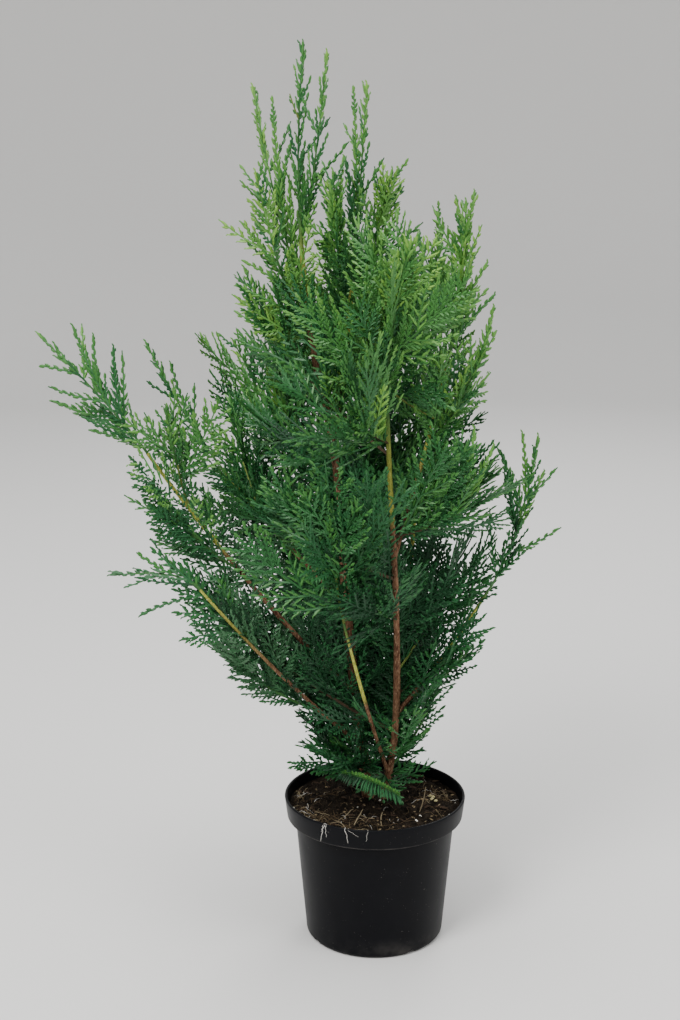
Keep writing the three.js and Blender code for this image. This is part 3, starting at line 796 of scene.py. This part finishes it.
def round_axis(way, axis, angle):
    return Quaternion(axis, angle) @ way


def grow_sprays(mass, seed):
    spread = dice(seed)
    count, longest, _ = habits[mass["habit"]]
    face_turn = spread(40 * degree)
    sprays = []
    for i in range(count):
        end = i == count - 1
        t = end_spray if end else first_spray + (last_spray - first_spray) * (i + 0.3) / (count - 1)
        about, lean = spread(25 * degree), spray_lean + spread(8 * degree)
        length = longest * (1 - 0.5 * t) * (1 + spread(0.12))
        sprays.append(dict(end=end, t=t, face_turn=face_turn, side=1 if i % 2 else -1,
                           about=about, lean=lean, length=length, twist=spread(15 * degree)))
    return sprays


def aimed(start, way, face, length, lift=Vector()):
    """A spray laid along its way, flat side to its face"""
    way = way.normalized()
    return dict(start=start, way=way, face=square_to(face, way), length=length, lift=lift)


def lay_spray(stem, spray, turn):
    start, along = stem.point(spray["t"]), stem.way(spray["t"])
    face = round_axis(square_to(south, along), along, spray["face_turn"])
    if spray["end"]:
        way = stem.point(1) - start
        return aimed(start, way, face, way.length)
    about = spray["about"] + turn * degree
    out = round_axis(along.cross(face) * spray["side"], along, about)
    way = (along * math.cos(spray["lean"]) + out * math.sin(spray["lean"])).normalized()
    flat = round_axis(square_to(round_axis(face, along, about), way), way, spray["twist"])
    return dict(start=start, way=way, face=flat, length=spray["length"], lift=up * 0.1 + along * 0.12)


def blade_point(laid, length, part, out=0.0):
    across = laid["face"].cross(laid["way"])
    bowed = laid["start"] + laid["way"] * (length * part) + laid["lift"] * (length * part * part)
    return bowed + across * out


def reach_at(part):
    """A spray's half breadth along its length, for its greatest"""
    return np.interp(part, (0, 0.04, 0.32, 0.60, 0.86, 1), (0.5, 0.85, 0.8, 0.6, 0.36, 0.15))


def tooth_tips(laid, length, fullness):
    """The tip of the CAD's blade and those of its first teeth"""
    first = 0.004 / length
    step = (0.86 - first) / 3
    tips = [blade_point(laid, length, 1)]
    for i, share in enumerate((0.85, 1 - 0.62 / 3, 1 - 1.24 / 3)):
        reach = fullness * length * share
        for side, shift in ((-1, 0.15), (1, 0.5)):
            part = first + step * (i + shift) + math.cos(spray_lean) * reach / length
            tips.append(blade_point(laid, length, part, side * math.sin(spray_lean) * reach))
    return tips


def find_spray(mass, spray, fullness):
    """The size and turn at which the CAD's node holds this spray, if it does"""
    best = None
    for size in range(10, 4, -1):
        for turn in (0,) if spray["end"] else spray_turns:
            laid = lay_spray(mass["stem"], spray, turn)
            length = laid["length"] * size / 10
            tips = tooth_tips(laid, length, fullness)
            met = sum(mass["tree"].find(tip)[2] < corner_reach for tip in tips)
            if met >= 2 and (best is None or met > best[0]):
                best = met, laid, length
    return best


# The tints, from the inmost sprays to the newest tips, and the bluish one of the lowest left. The dark ones
# are painted shade on the inner and low sprays. The light ones are partly fresh growth and partly painted
# light
tints = [
    ("deep_green", (0.009, 0.050, 0.017)), ("dark_green", (0.016, 0.094, 0.028)),
    ("mid_green", (0.022, 0.116, 0.028)), ("leaf_green", (0.049, 0.177, 0.034)),
    ("fresh_green", (0.100, 0.262, 0.045)), ("lime_green", (0.175, 0.365, 0.054)),
    ("blue_green", (0.044, 0.137, 0.054)),
]
deep, dark, mid, leaf, fresh, newest, bluish = range(len(tints))
cords = []
twigs = {"green": [], "yellow": [], "brown": []}
shoots = [[] for _ in tints]
cord_width = 0.0031
longest_cord = 0.0095
cord_every = 0.0028
cord_lean, slim_cord_lean = 31, 24
rib_radii, twig_radii = (0.0013, 0.0009), (0.0014, 0.0009)
yellow_share, longest_yellow = 0.05, 0.05
# A side shoot is one cord up to the first length, has two buds up to the second, then a comb
# of cords, and is a spray again from the third
budless_length, short_length, spray_length = 0.012, 0.019, 0.046
shortest_shoot = 0.008
shoot_every, slim_shoot_every, branch_every = 0.0054, 0.0050, 0.0125


def grow_cord(root, course, face, length, wide, tint):
    cords.append((root, course.normalized(), face, length, wide, tint))


def grow_shoot(start, way, face, length, spread, tint, plump=1.0, rising=Vector(), splay=cord_lean):
    """One side shoot: a scaly rib with a comb of cords down each side, fresher towards its tip.
    A short one is a plump cord with a bud or two."""
    across = face.cross(way)
    lift = face * spread(0.12) + up * 0.12 + rising
    fresher = tint if tint == bluish else min(tint + 1, newest)
    short = length < short_length
    if short:
        way = (way + lift).normalized()
        lift = Vector()
        grow_cord(start, way, face, length, 0.0033 * plump, fresher)
        count = 0 if length < budless_length else 2
    else:
        line = [start + way * (length * i / 3) + lift * (length * (i / 3) ** 2) for i in range(4)]
        shoots[tint].append((line, *rib_radii))
        count = round(length / cord_every)
    longest = min(longest_cord, 0.0042 + 0.14 * length)
    for k in range(count):
        part = (k + 0.7) / count
        root = start + way * (length * part) + lift * (length * part * part)
        lean = (splay - 8 * part + spread(6)) * degree
        side = 1 if k % 2 else -1
        reach = longest * min(1, 0.6 + 2.5 * part) * (1.1 - 0.5 * part) * (1 + spread(0.2))
        course = (way + lift * part) * math.cos(lean) + across * (side * math.sin(lean))
        width = min(cord_width, 0.42 * reach) * plump
        grow_cord(root, course + face * spread(0.16), face, reach, width, fresher if part > 0.68 else tint)
    if not short:
        tip = start + way * (length * 0.92) + lift * (length * 0.85)
        grow_cord(tip, way + lift * 1.6, face, 0.007 + 0.07 * length, cord_width * plump, fresher)


def grow_fronds(laid, length, fullness, spread, tint, plump=1.0, slim=False):
    """One spray: its twig, and side shoots that shorten towards its tip. A side shoot that is
    long enough is a spray again."""
    across = laid["face"].cross(laid["way"])
    line = [blade_point(laid, length, i / 3) for i in range(4)]
    yellow = spread() > 1 - 2 * yellow_share and length < longest_yellow
    rows = twigs["yellow"] if yellow else shoots[tint]
    rows.append((line, *twig_radii))
    part = 0.03 + spread(0.02)
    k = 0
    while part < 0.86:
        reach = fullness * length * reach_at(part) * (1 + spread(0.15))
        side = 1 if k % 2 else -1
        lean = ((28 if slim else 46) - 12 * part + spread(6)) * degree
        along = (laid["way"] + laid["lift"] * (2 * part)).normalized()
        way = along * math.cos(lean) + across * (side * math.sin(lean)) + laid["face"] * spread(0.22)
        way.normalize()
        face = square_to(laid["face"] + across * spread(0.3), way)
        start = blade_point(laid, length, part)
        if reach > spray_length:
            branch = dict(start=start, way=way, face=face, length=reach, lift=along * 0.22 + up * 0.08)
            grow_fronds(branch, reach * 1.05, 0.36, spread, tint, plump)
            part += branch_every / length
        else:
            reach = max(reach, shortest_shoot)
            splay = slim_cord_lean if slim else cord_lean
            grow_shoot(start, way, face, reach, spread, tint, plump, along * 0.16, splay)
            part += (slim_shoot_every if slim else shoot_every) * (1 + spread(0.2)) / length
        k += 1
    end = aimed(blade_point(laid, length, 0.84), laid["way"] + laid["lift"] * 2, laid["face"], 0.17 * length)
    grow_shoot(end["start"], end["way"], end["face"], end["length"], spread, tint, plump)


# Sprays get lighter from the first height on, over the stretch that follows, and towards the crown's edge.
# This is partly fresh growth and partly painted light, and the inner ones are darker as painted shade.
# The lowest to the left are bluish, and those of the far left about one tint darker than their place says.
lighter_from, lighter_over = 0.38, 0.45
bluish_below, bluish_west, far_west = 0.5, -0.09, -0.24


def tint_at(point, spread, inward=0.0):
    """Which tint a spray has: lighter the higher it is and the nearer to the crown's edge, partly as fresh
    growth and partly as painted light, and darker inward as painted shade
    """
    outward = min(outward_at(point), 1.2)
    if point.z < bluish_below and point.x < bluish_west and spread() > 0:
        return bluish
    level = 2.6 * min(max((point.z - lighter_from) / lighter_over, 0), 1) + 1.5 * outward - inward
    level += spread(0.9) - (0.8 if point.x < far_west else 0)
    return min(max(int(level), deep), fresh)


# Where the photograph shows sky between the sprays: west, east, low and high side
open_sky = [
    (-0.212, -0.152, 0.700, 0.773), (-0.282, -0.225, 0.574, 0.649), (0.120, 0.193, 0.649, 0.756),
    (-0.174, -0.133, 0.860, 0.977), (-0.075, -0.040, 0.950, 1.010), (-0.007, 0.020, 0.958, 1.032),
    (0.034, 0.085, 0.905, 0.977), (0.201, 0.270, 0.483, 0.570), (-0.272, -0.216, 0.600, 0.668),
]


def in_open_sky(point):
    return any(west < point.x < east and low < point.z < high for west, east, low, high in open_sky)


sunlit = ("waist_1", "front_fan", "long_upper")
slim_habits = ("spire", "shoot")
# Shoots on a mass's own stem, slim or full: how far apart, how they lean out, their length at its
# foot and how much they lose to its tip, how shaded, how their cords splay, and its old wood
slim_stem = (0.0105, 0.38, 0.029, 0.016, 0.8, 22, 0.15)
full_stem = (0.0070, 0.70, 0.030, 0.013, 0.3, cord_lean, 0.55)
crown_edge = 1.05
lowest_tip = soil_level + 0.015
for index, mass in enumerate(masses):
    spread = dice(300 + index)
    _, longest, fullness = habits[mass["habit"]]
    stem = mass["stem"]
    inner = mass["habit"] in ("inner", "skirt")
    slim = mass["habit"] in slim_habits
    for spray in grow_sprays(mass, index + 1):
        found = find_spray(mass, spray, fullness)
        if found:
            _, laid, length = found
            # Sprays of inner masses are a tint darker as painted shade, and those of slim masses are darker
            # too
            tint = tint_at(blade_point(laid, length, 0.7), spread, 0.7 if slim or inner else 0)
            grow_fronds(laid, length, fullness, spread, tint, 1.1, slim)
    extra = 9 if inner else 0 if slim else 5
    for i in range(extra):
        t = 0.10 + 0.82 * (i + 0.5 + spread(0.3)) / extra
        length = 0.72 * longest * (1 - 0.5 * t)
        spray = dict(end=False, t=t, face_turn=spread(60 * degree), side=1 if i % 2 else -1,
                     about=spread(75 * degree), lean=spray_lean, length=length, twist=spread(30 * degree))
        laid = lay_spray(stem, spray, 0)
        laid = aimed(laid["start"], laid["way"] + up * 0.5, laid["face"], length, laid["lift"])
        tip = blade_point(laid, length, 1)
        outside = outward_at(stem.point(1)) < crown_edge <= outward_at(tip)
        if not (outside or in_open_sky(tip) or tip.z < lowest_tip):
            # These added sprays are a tint darker as painted shade
            grow_fronds(laid, length, fullness * 1.1, spread, tint_at(tip, spread, 0.8), 1.0, slim)
    every, leaning, at_foot, lost, inward, splay, old_wood = slim_stem if slim else full_stem
    count = round((stem.point(1) - stem.point(0)).length / every)
    for k in range(count):
        t = 0.12 + 0.86 * (k + 0.5) / count
        along = stem.way(t)
        face = round_axis(square_to(south, along), along, spread(0.9))
        out = face.cross(along) * (1 if k % 2 else -1)
        way = (along + out * (leaning + spread(0.12)) + face * spread(0.3)).normalized()
        reach = (at_foot - lost * t) * (1 + spread(0.3))
        tint = tint_at(stem.point(t), spread, inward)
        grow_shoot(stem.point(t), way, square_to(face, way), reach, spread, tint, 1.1, along * 0.2, splay)
    along = stem.way(1)
    tint = tint_at(stem.point(1), spread)
    grow_shoot(stem.point(0.97), along, square_to(south, along), 0.014, spread, tint, 1.15)
    # A mass's old wood is yellow on sunlit masses as painted light. On inner masses it is a dark brown,
    # partly old bark and partly painted shade. Elsewhere it is green
    kind = "yellow" if mass["name"] in sunlit else "brown" if inner else "green"
    twigs[kind].append(([stem.point(old_wood * i / 3) for i in range(4)], 0.0020, 0.0016))
    young_wood = [stem.point(old_wood + (1 - old_wood) * i / 3) for i in range(4)]
    twigs["green"].append((young_wood, 0.0016, 0.0009))

# Sprays whose tips show one by one: carrier, then part of its length, the tip's east, north and
# height, and fullness
seen_sprays = [
    ("far_left_fan", [(0.30, -0.297, -0.080, 0.755, 0.22), (0.42, -0.342, -0.085, 0.779, 0.20),
        (0.50, -0.320, -0.075, 0.767, 0.20), (0.70, -0.379, -0.090, 0.733, 0.22),
        (0.16, -0.368, -0.090, 0.693, 0.24), (0.24, -0.337, -0.080, 0.690, 0.24)]),
    ("upper_left_fan", [(0.40, -0.248, 0.050, 0.717, 0.16)]),
    ("upper_left_side", [(0.12, -0.216, 0.020, 0.600, 0.30), (0.30, -0.204, 0.040, 0.635, 0.28)]),
    ("long_under", [(0.60, -0.261, -0.075, 0.553, 0.30)]),
    ("low_left_fan", [(0.15, -0.260, -0.105, 0.528, 0.28), (0.45, -0.275, -0.108, 0.522, 0.22)]),
    ("bough_left_low", [(0.90, -0.237, -0.105, 0.478, 0.34), (0.84, -0.238, -0.100, 0.448, 0.36),
        (0.76, -0.230, -0.090, 0.411, 0.38), (0.97, -0.274, -0.108, 0.446, 0.10)]),
    ("spire_left_low", [(0.45, -0.157, -0.010, 0.843, 0.24)]),
    ("high_2", [(0.78, -0.169, 0.030, 0.780, 0.26), (0.60, -0.166, 0.020, 0.747, 0.28)]),
    ("spire_left", [(0.33, -0.120, 0.002, 1.016, 0.13), (0.50, -0.097, 0.004, 0.980, 0.20)]),
    ("spire_leader", [(0.20, -0.028, 0.026, 1.028, 0.13)]),
    ("leader_left", [(0.72, -0.039, -0.014, 0.961, 0.20)]),
    ("leader_front", [(0.60, 0.023, -0.014, 0.947, 0.20)]),
    ("right_high_fan", [(0.70, 0.110, -0.008, 0.922, 0.22), (0.05, 0.136, -0.010, 0.804, 0.24),
        (0.25, 0.127, -0.006, 0.841, 0.24)]),
    ("right_high_side", [(0.85, 0.130, -0.036, 0.780, 0.24)]),
    ("right_low_fan", [(0.58, 0.144, 0.016, 0.619, 0.20), (0.66, 0.174, 0.018, 0.638, 0.18)]),
    ("waist_1", [(0.50, 0.141, 0.010, 0.459, 0.30)]),
    ("right_low_side", [(0.75, 0.132, -0.024, 0.391, 0.34)]),
    ("bough_left_long", [(0.93, -0.277, -0.095, 0.621, 0.40), (0.86, -0.270, -0.100, 0.596, 0.40),
        (0.78, -0.265, -0.100, 0.572, 0.40), (0.70, -0.255, -0.095, 0.543, 0.40)]),
    ("far_left_fan", [(0.05, -0.328, -0.085, 0.659, 0.24)]),
    ("spire_trunk_side", [(0.10, -0.071, -0.006, 0.942, 0.22)]),
    ("leader_left", [(0.50, -0.055, -0.030, 0.933, 0.24)]),
    ("spire_trunk_side", [(0.02, -0.087, 0.012, 0.964, 0.20)]),
    ("spire_leader", [(0.02, -0.038, 0.016, 0.959, 0.20)]),
    ("spire_left_low", [(0.28, -0.164, -0.004, 0.813, 0.26), (0.52, -0.158, 0.000, 0.886, 0.20)]),
    ("leader_front", [(0.30, 0.024, -0.030, 0.902, 0.24)]),
    ("front_crown", [(0.55, 0.028, -0.080, 0.882, 0.26), (0.62, 0.045, -0.085, 0.880, 0.26)]),
    ("rear_right_fan", [(0.82, 0.073, 0.060, 0.898, 0.22)]),
    ("right_high_fan", [(0.62, 0.089, 0.000, 0.915, 0.22), (0.20, 0.128, -0.010, 0.811, 0.26)]),
    ("right_high_side", [(0.90, 0.132, -0.040, 0.795, 0.24)]),
    ("right_low_fan", [(0.45, 0.148, 0.010, 0.617, 0.22), (0.15, 0.161, 0.004, 0.520, 0.26)]),
    ("spire_trunk_side", [(0.00, -0.069, -0.004, 0.908, 0.28)]),
    ("high_1", [(0.85, -0.062, -0.020, 0.869, 0.30)]),
    ("high_2", [(0.85, -0.157, 0.028, 0.833, 0.28)]),
    ("spire_left", [(0.20, -0.101, -0.002, 0.931, 0.22)]),
    ("bough_left_low", [(0.95, -0.223, -0.102, 0.512, 0.36)]),
    ("low_left_fan", [(0.05, -0.240, -0.100, 0.511, 0.30)]),
    ("right_high_side", [(0.80, 0.136, -0.036, 0.766, 0.26)]),
    ("right_low_fan", [(0.30, 0.176, 0.010, 0.531, 0.24), (0.50, 0.203, 0.020, 0.590, 0.24),
        (0.12, 0.181, 0.006, 0.493, 0.26)]),
    ("middle_4", [(0.90, 0.112, -0.050, 0.657, 0.20), (0.95, 0.135, -0.050, 0.636, 0.22),
        (0.80, 0.135, -0.050, 0.584, 0.24), (0.70, 0.131, -0.055, 0.553, 0.26),
        (0.55, 0.092, -0.060, 0.647, 0.28)]),
    ("bough_left_long", [(0.64, -0.277, -0.112, 0.629, 0.30), (0.52, -0.262, -0.112, 0.579, 0.32)]),
    ("trunk_low", [(0.20, -0.103, -0.030, 0.233, 0.40)]),
    ("front_low", [(0.20, 0.050, -0.030, 0.233, 0.36)]),
]
curves = {name: limb["curve"] for name, limb in limbs.items()}
curves.update({mass["name"]: mass["stem"] for mass in masses})
for name, stem in (("trunk_low", "trunk"), ("front_low", "front_stem")):
    curves[name] = Spline([at_height(curves[stem], height) for height in (0.190, 0.230)])
slim_fullness = 0.25
seen_spread = dice(808)
for carrier, rows in seen_sprays:
    for part, x, y, z, fullness in rows:
        start = curves[carrier].point(part)
        reach = Vector((x, y, z)) - start
        length = reach.length
        way = reach - (reach.normalized() * 0.5 - curves[carrier].way(part) * 0.5) * length * 0.5
        laid = aimed(start, way, south + up * 0.3, length, reach / length - way.normalized())
        tint = tint_at(start + reach, seen_spread, 0.4)
        tint = tint if tint == bluish else min(tint, leaf)
        grow_fronds(laid, length, fullness, seen_spread, tint, 1.1, fullness < slim_fullness)

# Fresh sprays stand upright all round the crown, most of all high up. Those at its top are a tint lighter,
# partly as fresh growth and partly as painted light
upright_count = 118
upper_crown, top_crown = 0.52, 0.70
upper = [mass["stem"] for mass in masses if mass["habit"] not in slim_habits]
upper = [stem for stem in upper if stem.point(1).z > upper_crown]
crown_spray = dice(606)
for i in range(upright_count):
    start = upper[i % len(upper)].point(0.55 + crown_spray(0.38))
    x, y, _, _ = crown_slice(start.z)
    outward = Vector((start.x - x, start.y - y, 0)).normalized()
    way = up + outward * (0.25 + crown_spray(0.2)) + Vector((crown_spray(0.2), crown_spray(0.2), 0))
    length = 0.064 + crown_spray(0.016)
    laid = aimed(start, way, outward + south * 0.4, length)
    tip = blade_point(laid, length, 1)
    if outward_at(tip) < 0.97 and not in_open_sky(tip):
        tint = tint_at(tip, crown_spray) + (1 if tip.z > top_crown else 0)
        grow_fronds(laid, length, 0.34, crown_spray, min(tint, fresh))

# Low sprays leave the two stems' feet on all sides and hang over the compost, in dark tints as painted shade
low_spray = dice(505)
low_count, dark_count = 26, 66
for i in range(low_count):
    height = 0.190 + 0.13 * (i / low_count) + low_spray(0.004)
    start = at_height(curves["trunk" if i % 3 else "front_stem"], height)
    bearing = (i * 137.5 + low_spray(14)) * degree
    way = Vector((math.cos(bearing), math.sin(bearing), 0.62 + low_spray(0.22)))
    length = 0.086 + low_spray(0.022) - 0.022 * max(math.cos(bearing), 0)
    laid = aimed(start, way, up + south * 0.6, length, up * 0.10)
    grow_fronds(laid, length, 0.42, low_spray, int(dark + low_spray(1.2)))

# Dark sprays fill the crown behind the stems low down, and their dark and deep tints are painted shade
for i in range(dark_count):
    start = at_height(curves["trunk" if i % 3 else "front_stem"], 0.235 + 0.33 * (i / dark_count))
    bearing = (92 + low_spray(78)) * degree
    way = Vector((math.cos(bearing), math.sin(bearing), 0.9 + low_spray(0.4)))
    length = 0.085 + low_spray(0.02)
    laid = aimed(start, way, south + up * 0.4, length, up * 0.06)
    grow_fronds(laid, length, 0.5, low_spray, dark if i % 2 else deep, 1.25)

# Dark sprays droop over the compost before the two stems, each to its own tip. Their dark tint is painted
# shade
fern_foot = Vector((0.0125, 0.004, 0.203))
droop_tips = [
    (-0.040, -0.014, 0.206), (-0.024, -0.030, 0.196), (-0.008, -0.038, 0.190), (0.010, -0.042, 0.186),
    (0.034, -0.044, 0.186),
]
for tip in droop_tips:
    way = Vector(tip) - fern_foot
    laid = aimed(fern_foot, way, up + south * 0.8, way.length, up * -0.02)
    grow_fronds(laid, way.length, 0.36, low_spray, dark, 1.1)

# Most cords and shoots that would hide a bared limb from the front are left out: limb, the part
# of it that is bare, and how far to each side
bare_limbs = [
    ("front_stem", 0.05, 0.98, 0.006), ("bough_left_long", 0.28, 1.0, 0.0085),
    ("bough_left_low", 0.54, 1.0, 0.005), ("bough_front_shoot", 0.1, 0.8, 0.005),
    ("trunk", 0.26, 0.31, 0.006), ("trunk", 0.36, 0.44, 0.006), ("trunk", 0.53, 0.59, 0.006),
    ("trunk", 0.69, 0.75, 0.006), ("waist_1", 0.02, 0.5, 0.005),
]
limb_steps = 80
left_share = 0.14
left_in = dice(77)


def hides_limb(points):
    """Which of the points stand before a bared limb, as seen from the front"""
    points = np.array(points)
    hiding = np.zeros(len(points), bool)
    for name, low, high, width in bare_limbs:
        parts = [low + (high - low) * i / limb_steps for i in range(limb_steps + 1)]
        line = np.array([curves[name].point(part) for part in parts])
        apart = np.hypot(points[:, None, 0] - line[None, :, 0], points[:, None, 2] - line[None, :, 2])
        hiding |= (apart.min(1) < width) & (points[:, 1] < line[apart.argmin(1), 1])
    return hiding


def thinned(rows, hiding):
    return [row for row, hides in zip(rows, hiding) if not hides or left_in() > 1 - 2 * left_share]


cords = thinned(cords, hides_limb([cord[0] + cord[1] * (cord[3] / 2) for cord in cords]))
for tint, rows in enumerate(shoots):
    if rows:
        hiding = hides_limb([row[0][1] for row in rows]) | hides_limb([row[0][2] for row in rows])
        shoots[tint] = thinned(rows, hiding)

# A flat fern droops over the compost before the rest. A comb of dark cords hangs from it as painted shade on
# its underside, and bright ones edge its top as painted light
fern_start, fern_end = Vector((-0.0423, -0.0480, 0.2285)), Vector((0.0292, -0.0580, 0.2029))
fern = Bow(fern_start, Vector((-0.0081, -0.0670, 0.2333)), fern_end)
fern_stalk = fern.point(0.7) - fern_foot
fern_steps = 26
shoots[dark].append(([fern_foot + fern_stalk * (i / 3) for i in range(4)], 0.0013, 0.0011))
shoots[leaf].append(([fern.point(i / 3) for i in range(4)], 0.0007, 0.0010))
for k in range(fern_steps):
    t = (k + 0.5) / fern_steps
    root, along = fern.point(t), fern.way(t)
    for row in range(3):
        way = up * -1 + along * (1.7 * t - 1.1 + low_spray(0.15))
        way += south * (0.7 - 0.55 * row + low_spray(0.15))
        hang = (0.0160 - 0.002 * row) * (0.5 + 0.5 * math.sin(math.pi * t) + 0.3 * t) + low_spray(0.0025)
        tint = dark if row == 0 and t > 0.35 else deep
        grow_cord(root + along * low_spray(0.0012), way, south, hang, 0.0024, tint)
    for row in range(2):
        way = up + along * (0.25 - 0.5 * row + low_spray(0.12)) + south * (0.25 + low_spray(0.2))
        tint = fresh if (k + row) % 3 == 0 else leaf
        grow_cord(root, way, south, 0.0070 - 0.0014 * t + low_spray(0.0008), 0.0026, tint)

# A cord is a scaly spindle: its root, two rings of three and its tip. In the shade one ring does.
cord_shape = np.array([
    (0, 0, 0), (0.18, -0.5, -0.14), (0.30, 0.5, -0.14), (0.24, 0, 0.34),
    (0.66, -0.42, -0.12), (0.78, 0.38, -0.12), (0.73, 0, 0.28), (1, 0, 0),
])
cord_faces = np.array([
    (0, 2, 1), (0, 3, 2), (0, 1, 3), (1, 2, 5), (1, 5, 4), (2, 3, 6), (2, 6, 5), (3, 1, 4), (3, 4, 6),
    (7, 4, 5), (7, 5, 6), (7, 6, 4),
])
shade_shape = np.array([(0, 0, 0), (0.55, -0.52, -0.1), (0.68, 0.5, -0.1), (0.6, 0, 0.3), (1, 0, 0)])
shade_faces = np.array([(0, 2, 1), (0, 3, 2), (0, 1, 3), (4, 1, 2), (4, 2, 3), (4, 3, 1)])
cords_in_piece = 16000
mass_names = [mass["name"] for mass in masses]


def foliage_piece(name, points, faces, finish):
    piece = joined(name, points, faces, finish)
    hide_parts(*mass_names)


def spindles(rows, shape, faces):
    """Points and faces of a row of cords"""
    root, way, face = (np.array([row[i] for row in rows]) for i in range(3))
    face -= way * (face * way).sum(1)[:, None]
    face /= np.linalg.norm(face, axis=1)[:, None]
    across = np.cross(face, way)[:, None]
    long, wide = (np.array([row[i] for row in rows])[:, None, None] for i in (3, 4))
    a, b, c = (shape[None, :, i, None] for i in range(3))
    points = root[:, None] + way[:, None] * long * a + across * wide * b
    points = points + face[:, None] * (wide * c + long * 0.12 * a * a)
    shift = len(shape) * np.arange(len(rows))[:, None, None]
    return points.reshape(-1, 3), (faces[None] + shift).reshape(-1, 3)


def rods(rows):
    return strands([row[0] for row in rows], [np.linspace(row[1], row[2], len(row[0])) for row in rows])


for tint, (name, color) in enumerate(tints):
    in_shade = tint <= dark
    finish = plain(name, color, 0.5, 0.28 if in_shade else 0.4)
    rows = [cord for cord in cords if cord[5] == tint]
    shape = (shade_shape, shade_faces) if in_shade else (cord_shape, cord_faces)
    for k in range(0, len(rows), cords_in_piece):
        points, faces = spindles(rows[k:k + cords_in_piece], *shape)
        foliage_piece(f"leaves_{name}_{k // cords_in_piece + 1}", points, faces, finish)
    if shoots[tint]:
        foliage_piece(f"shoots_{name}", *rods(shoots[tint]), finish)

# Yellow is young wood, and on the sunlit masses' stems it is also painted light. The dark brown is partly old
# bark and partly painted shade
twig_colors = {"green": (0.045, 0.125, 0.034), "yellow": (0.16, 0.21, 0.05), "brown": (0.065, 0.042, 0.024)}
for kind, rows in twigs.items():
    foliage_piece(f"{kind}_twigs", *rods(rows), plain(f"{kind}_twig", twig_colors[kind], 0.6))


# Studio
# A plain pale sweep, level where the pot stands and rising all round it, is lit by a soft sky
# and four round softboxes. The camera stands where the photograph was taken from.
sweep_outline = [(0.5, 0), (1.5, 0), (3, 0), (4, 0), *arc(4, 1.6, 1.6, -90, 0, 16), (5.6, 3.2)]
sweep = draw_up("sweep", sweep_outline, 96, closed=False)
sweep.data.materials.append(plain("pale_floor", (0.68, 0.67, 0.65), 0.9).material)
smooth(sweep)

world = bpy.data.worlds.new("studio")
world.use_nodes = True
world.node_tree.nodes["Background"].inputs["Color"].default_value = (0.95, 0.97, 1.0, 1)
world.node_tree.nodes["Background"].inputs["Strength"].default_value = 0.78
bpy.context.scene.world = world


def softbox(name, place, size, power):
    light = bpy.data.lights.new(name, "AREA")
    light.shape = "DISK"
    light.size = size
    light.energy = power
    lamp = bpy.data.objects.new(name, light)
    lamp.location = place
    lamp.rotation_euler = (Vector((0, 0, 0.5)) - Vector(place)).to_track_quat("-Z", "Y").to_euler()
    bpy.context.scene.collection.objects.link(lamp)


softbox("key_light", (-1.4, -2.0, 3.0), 1.4, 110)
softbox("fill_light", (2.4, -1.6, 2.0), 1.8, 35)
softbox("back_light", (0.8, 2.6, 2.8), 1.6, 50)
softbox("top_light", (-0.2, -0.3, 3.4), 2.0, 60)

lens = bpy.data.cameras.new("photo_view")
lens.lens = 57.32
lens.sensor_width = 36
camera = bpy.data.objects.new("photo_view", lens)
camera.location = (-0.0435, -1.889, 1.005)
camera.rotation_euler = ((90 - 13.67) * degree, 0, 0)
bpy.context.scene.collection.objects.link(camera)
bpy.context.scene.camera = camera
